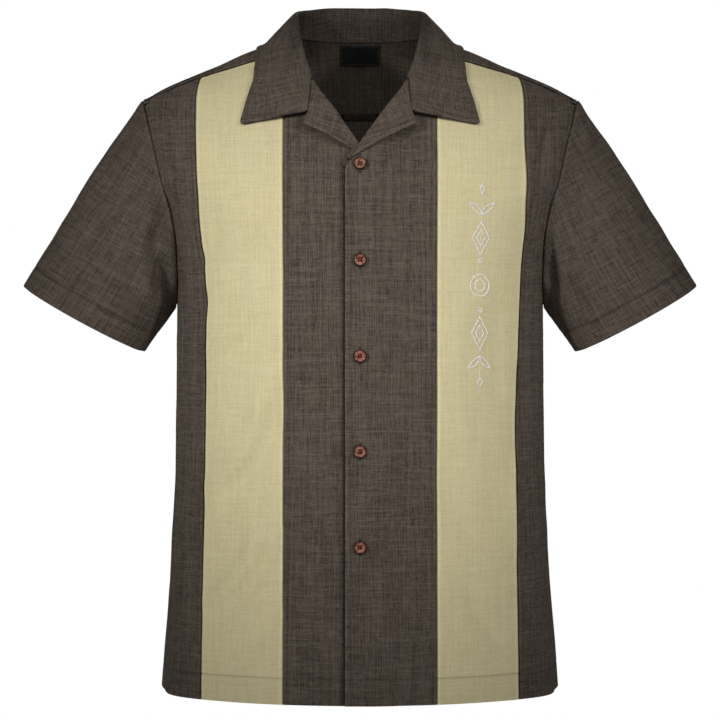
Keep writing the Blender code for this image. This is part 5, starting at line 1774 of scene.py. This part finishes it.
shares_x = np.concatenate([[-1, -0.985, -0.96], np.linspace(-0.92, 0.92, 25), [0.96, 0.985, 1]])
shares_z = np.concatenate([[0, 0.02, 0.05], np.linspace(0.09, 0.91, 13), [0.95, 0.98, 1]])
points = np.empty((len(shares_x), len(shares_z), 3))
weave = np.empty((len(shares_x), len(shares_z), 2))
for i, share_x in enumerate(shares_x):
    for j, share_z in enumerate(shares_z):
        x, height = share_x * LABEL_HALF_WIDTH, mix(LABEL_BOTTOM, LABEL_TOP, share_z)
        under = on_form(x, height, True)
        edge = min(1 - abs(share_x), share_z * 0.5, (1 - share_z) * 0.5)
        face = LABEL_FACE - 0.0004 * (1 - ease(edge / 0.035))
        face += 0.0003 * math.sin(share_x * 3 + 1) * (1 - share_z)
        points[i, j] = under - outward(under) * face
        weave[i, j] = x, height
normals = normals_of(points)
normals *= -np.sign(normals[12, 8, 1])
cloth_piece(
    "neck_label", points, normals, (), weave, LABEL_CLOTH, 0.0, ("label", label_material()),
    name="woven_neck_label",
)
LABEL_THREAD = thread_material("grey_label_thread", (0.3, 0.29, 0.28), (0.46, 0.45, 0.43), 0.6, 0.1)
along_x, along_z = slice(2, len(shares_x) - 2), slice(2, len(shares_z) - 2)
beads = []
for border in ((along_x, 2), (along_x, -3), (2, along_z), (-3, along_z)):
    beads += stitches((points[border], normals[border]), 0.00002, (0.0009, 0.00024, 0.00022), 0.00125)
thread_piece("label_border_stitches", beads, LABEL_THREAD)

# ------------------------------------------------------------
# Embroidery on the left contrast panel: one upright chain of open lozenges, rings and paired
# leaves in silver thread, joined by a fine running stitch. Outlines are narrow satin stitch.
# ------------------------------------------------------------

CHAIN_ACROSS = 0.134  # cloth length of the chain's line
SATIN_WIDTH = 0.0017
SATIN_PITCH = 0.00042
RUNNING_PITCH = 0.0021
LEAF_SLANT = math.radians(38)
LOZENGES = (  # height of the middle, half width, half height
    (-0.229, 0.0105, 0.0175),
    (-0.229, 0.0052, 0.0088),
    (-0.331, 0.0105, 0.0175),
    (-0.331, 0.0052, 0.0088),
    (-0.176, 0.0032, 0.005),
    (-0.384, 0.0032, 0.005),
)
RINGS = (  # height of the middle, radius
    (-0.28, 0.0118),
    (-0.28, 0.0062),
    (-0.2535, 0.0022),
    (-0.3065, 0.0022),
)
LEAVES = (  # height where the pair starts, way up or down, length, half width
    (-0.204, 1, 0.019, 0.003),
    (-0.356, -1, 0.019, 0.003),
)
RUNNING = (  # heights between which the running stitch goes
    (-0.165, -0.17),
    (-0.182, -0.211),
    (-0.349, -0.378),
    (-0.39, -0.396),
    (-0.22, -0.238),
    (-0.322, -0.34),
)
THREAD_ON = strips["left_contrast_panel"]


def satin_line(places):
    """Satin stitches across a line of places, each a cloth length and a height."""
    places = np.array(places)
    reach = reach_of(places)
    made = []
    for at in np.linspace(0, reach[-1], max(int(reach[-1] / SATIN_PITCH), 2)):
        here = [float(np.interp(at, reach, places[:, n])) for n in (0, 1)]
        i = min(int(np.searchsorted(reach, at, side="right")), len(places) - 1) - 1
        way = (places[i + 1] - places[i]) / np.linalg.norm(places[i + 1] - places[i])
        place, normal = nearest(THREAD_ON, *here)
        stitch = Vector((way[1] + 0.25 * way[0], 0.0, -way[0] + 0.25 * way[1]))
        stitch = (stitch - normal * stitch.dot(normal)).normalized()
        made.append((place + normal * 0.00016, stitch, normal, SATIN_WIDTH, 0.00052, 0.0008))
    return made


beads = []
for middle, half, tall in LOZENGES:
    corners = [(0, tall), (half, 0), (0, -tall), (-half, 0), (0, tall)]
    beads += satin_line([(CHAIN_ACROSS + x, middle + z) for x, z in corners])
for middle, radius in RINGS:
    turns = np.linspace(0, math.tau, 49)
    beads += satin_line([(CHAIN_ACROSS + radius * math.sin(a), middle + radius * math.cos(a)) for a in turns])
lean = Vector((math.sin(LEAF_SLANT), math.cos(LEAF_SLANT)))
for start, way, length, half in LEAVES:
    for side in (-1, 1):
        for edge in (-1, 1):
            blade = []
            for t in np.linspace(0, 1, 13):
                along, off = length * t, edge * half * math.sin(math.pi * t) + 0.0035 * t * t
                x, z = along * lean.x + off * lean.y, along * lean.y - off * lean.x
                blade.append((CHAIN_ACROSS + side * x, start + way * z))
            beads += satin_line(blade)
for top, bottom in RUNNING:
    count = max(int((top - bottom) / RUNNING_PITCH), 2)
    for n in range(count):
        place, normal = nearest(THREAD_ON, CHAIN_ACROSS, mix(top, bottom, (n + 0.5) / count))
        beads.append((place + normal * 0.0001, Vector((0, 0, 1)), normal, 0.0015, 0.0008, 0.0006))
SILVER_THREAD = thread_material("silver_thread", (0.78, 0.74, 0.79), (0.93, 0.91, 0.94), 0.38, 0.15)
thread_piece("chain_embroidery", beads, SILVER_THREAD)

# ------------------------------------------------------------
# Studio: a pale floor well below the shirt, three soft lamps in front and one behind, and a
# camera level with the chest.
# ------------------------------------------------------------

CAMERA_PLACE = Vector((0.0, -2.8, -0.36))
CAMERA_LENS = 125
FLOOR_HEIGHT = -1.25
FLOOR_RADIUS = 1.7

form = bmesh.new()
bmesh.ops.create_circle(form, cap_ends=True, segments=96, radius=FLOOR_RADIUS)
bmesh.ops.translate(form, verts=form.verts[:], vec=(0, 0, FLOOR_HEIGHT))
floor_mesh = bpy.data.meshes.new("studio_floor")
form.to_mesh(floor_mesh)
form.free()
floor_material, tree, surface = new_material("studio_floor")
feed(tree, surface, {
    "Base Color": (0.86, 0.86, 0.86, 1),
    "Roughness": 0.9,
    "Emission Color": (1, 1, 1, 1),
    "Emission Strength": 0.45,
})
floor_mesh.materials.append(floor_material)
in_scene("studio_floor", floor_mesh)

LIGHTS = (  # name, place, where it is aimed, width, height, spread in degrees, power and colour
    ("left", (-1.8, -1.75, 0.5), (-0.05, -0.1, -0.31), 0.2, 0.55, 21, 0.74, (1.0, 0.985, 0.96)),
    ("right", (1.7, -1.8, 0.5), (0.07, -0.1, -0.31), 0.2, 0.55, 21, 0.55, (1.0, 0.985, 0.965)),
    ("front", (-0.1, -2.0, 1.15), (0.0, -0.1, -0.14), 0.6, 0.6, 38, 0.58, (1.0, 0.99, 0.97)),
    ("back", (0.2, 2.8, 0.6), (0.0, 0.0, -0.3), 1.0, 1.0, 70, 8.0, (1.0, 0.99, 0.98)),
)
for name, place, target, width, height, spread_angle, power, colour in LIGHTS:
    lamp = bpy.data.lights.new(name, "AREA")
    lamp.shape = "RECTANGLE"
    lamp.size = width
    lamp.size_y = height
    lamp.spread = math.radians(spread_angle)
    lamp.energy = power
    lamp.color = colour
    lit = in_scene(name, lamp)
    lit.location = place
    lit.rotation_mode = "QUATERNION"
    lit.rotation_quaternion = (Vector(target) - Vector(place)).to_track_quat("-Z", "Y")
    lit.visible_camera = False
world = bpy.data.worlds.new("studio")
world.use_nodes = True
tree = world.node_tree
seen = add_node(tree, "LightPath").outputs["Is Camera Ray"]
strength = add_node(tree, "MapRange", {"Value": seen, "To Min": 0.11, "To Max": 1.0}).outputs[0]
feed(tree, tree.nodes["Background"], {"Color": (1, 1, 1, 1), "Strength": strength})
bpy.context.scene.world = world
bpy.context.scene.view_settings.view_transform = "Standard"

camera = in_scene("camera", bpy.data.cameras.new("camera"))
camera.data.lens = CAMERA_LENS
camera.location = CAMERA_PLACE
camera.rotation_euler = (math.radians(90), 0, 0)
bpy.context.scene.camera = camera
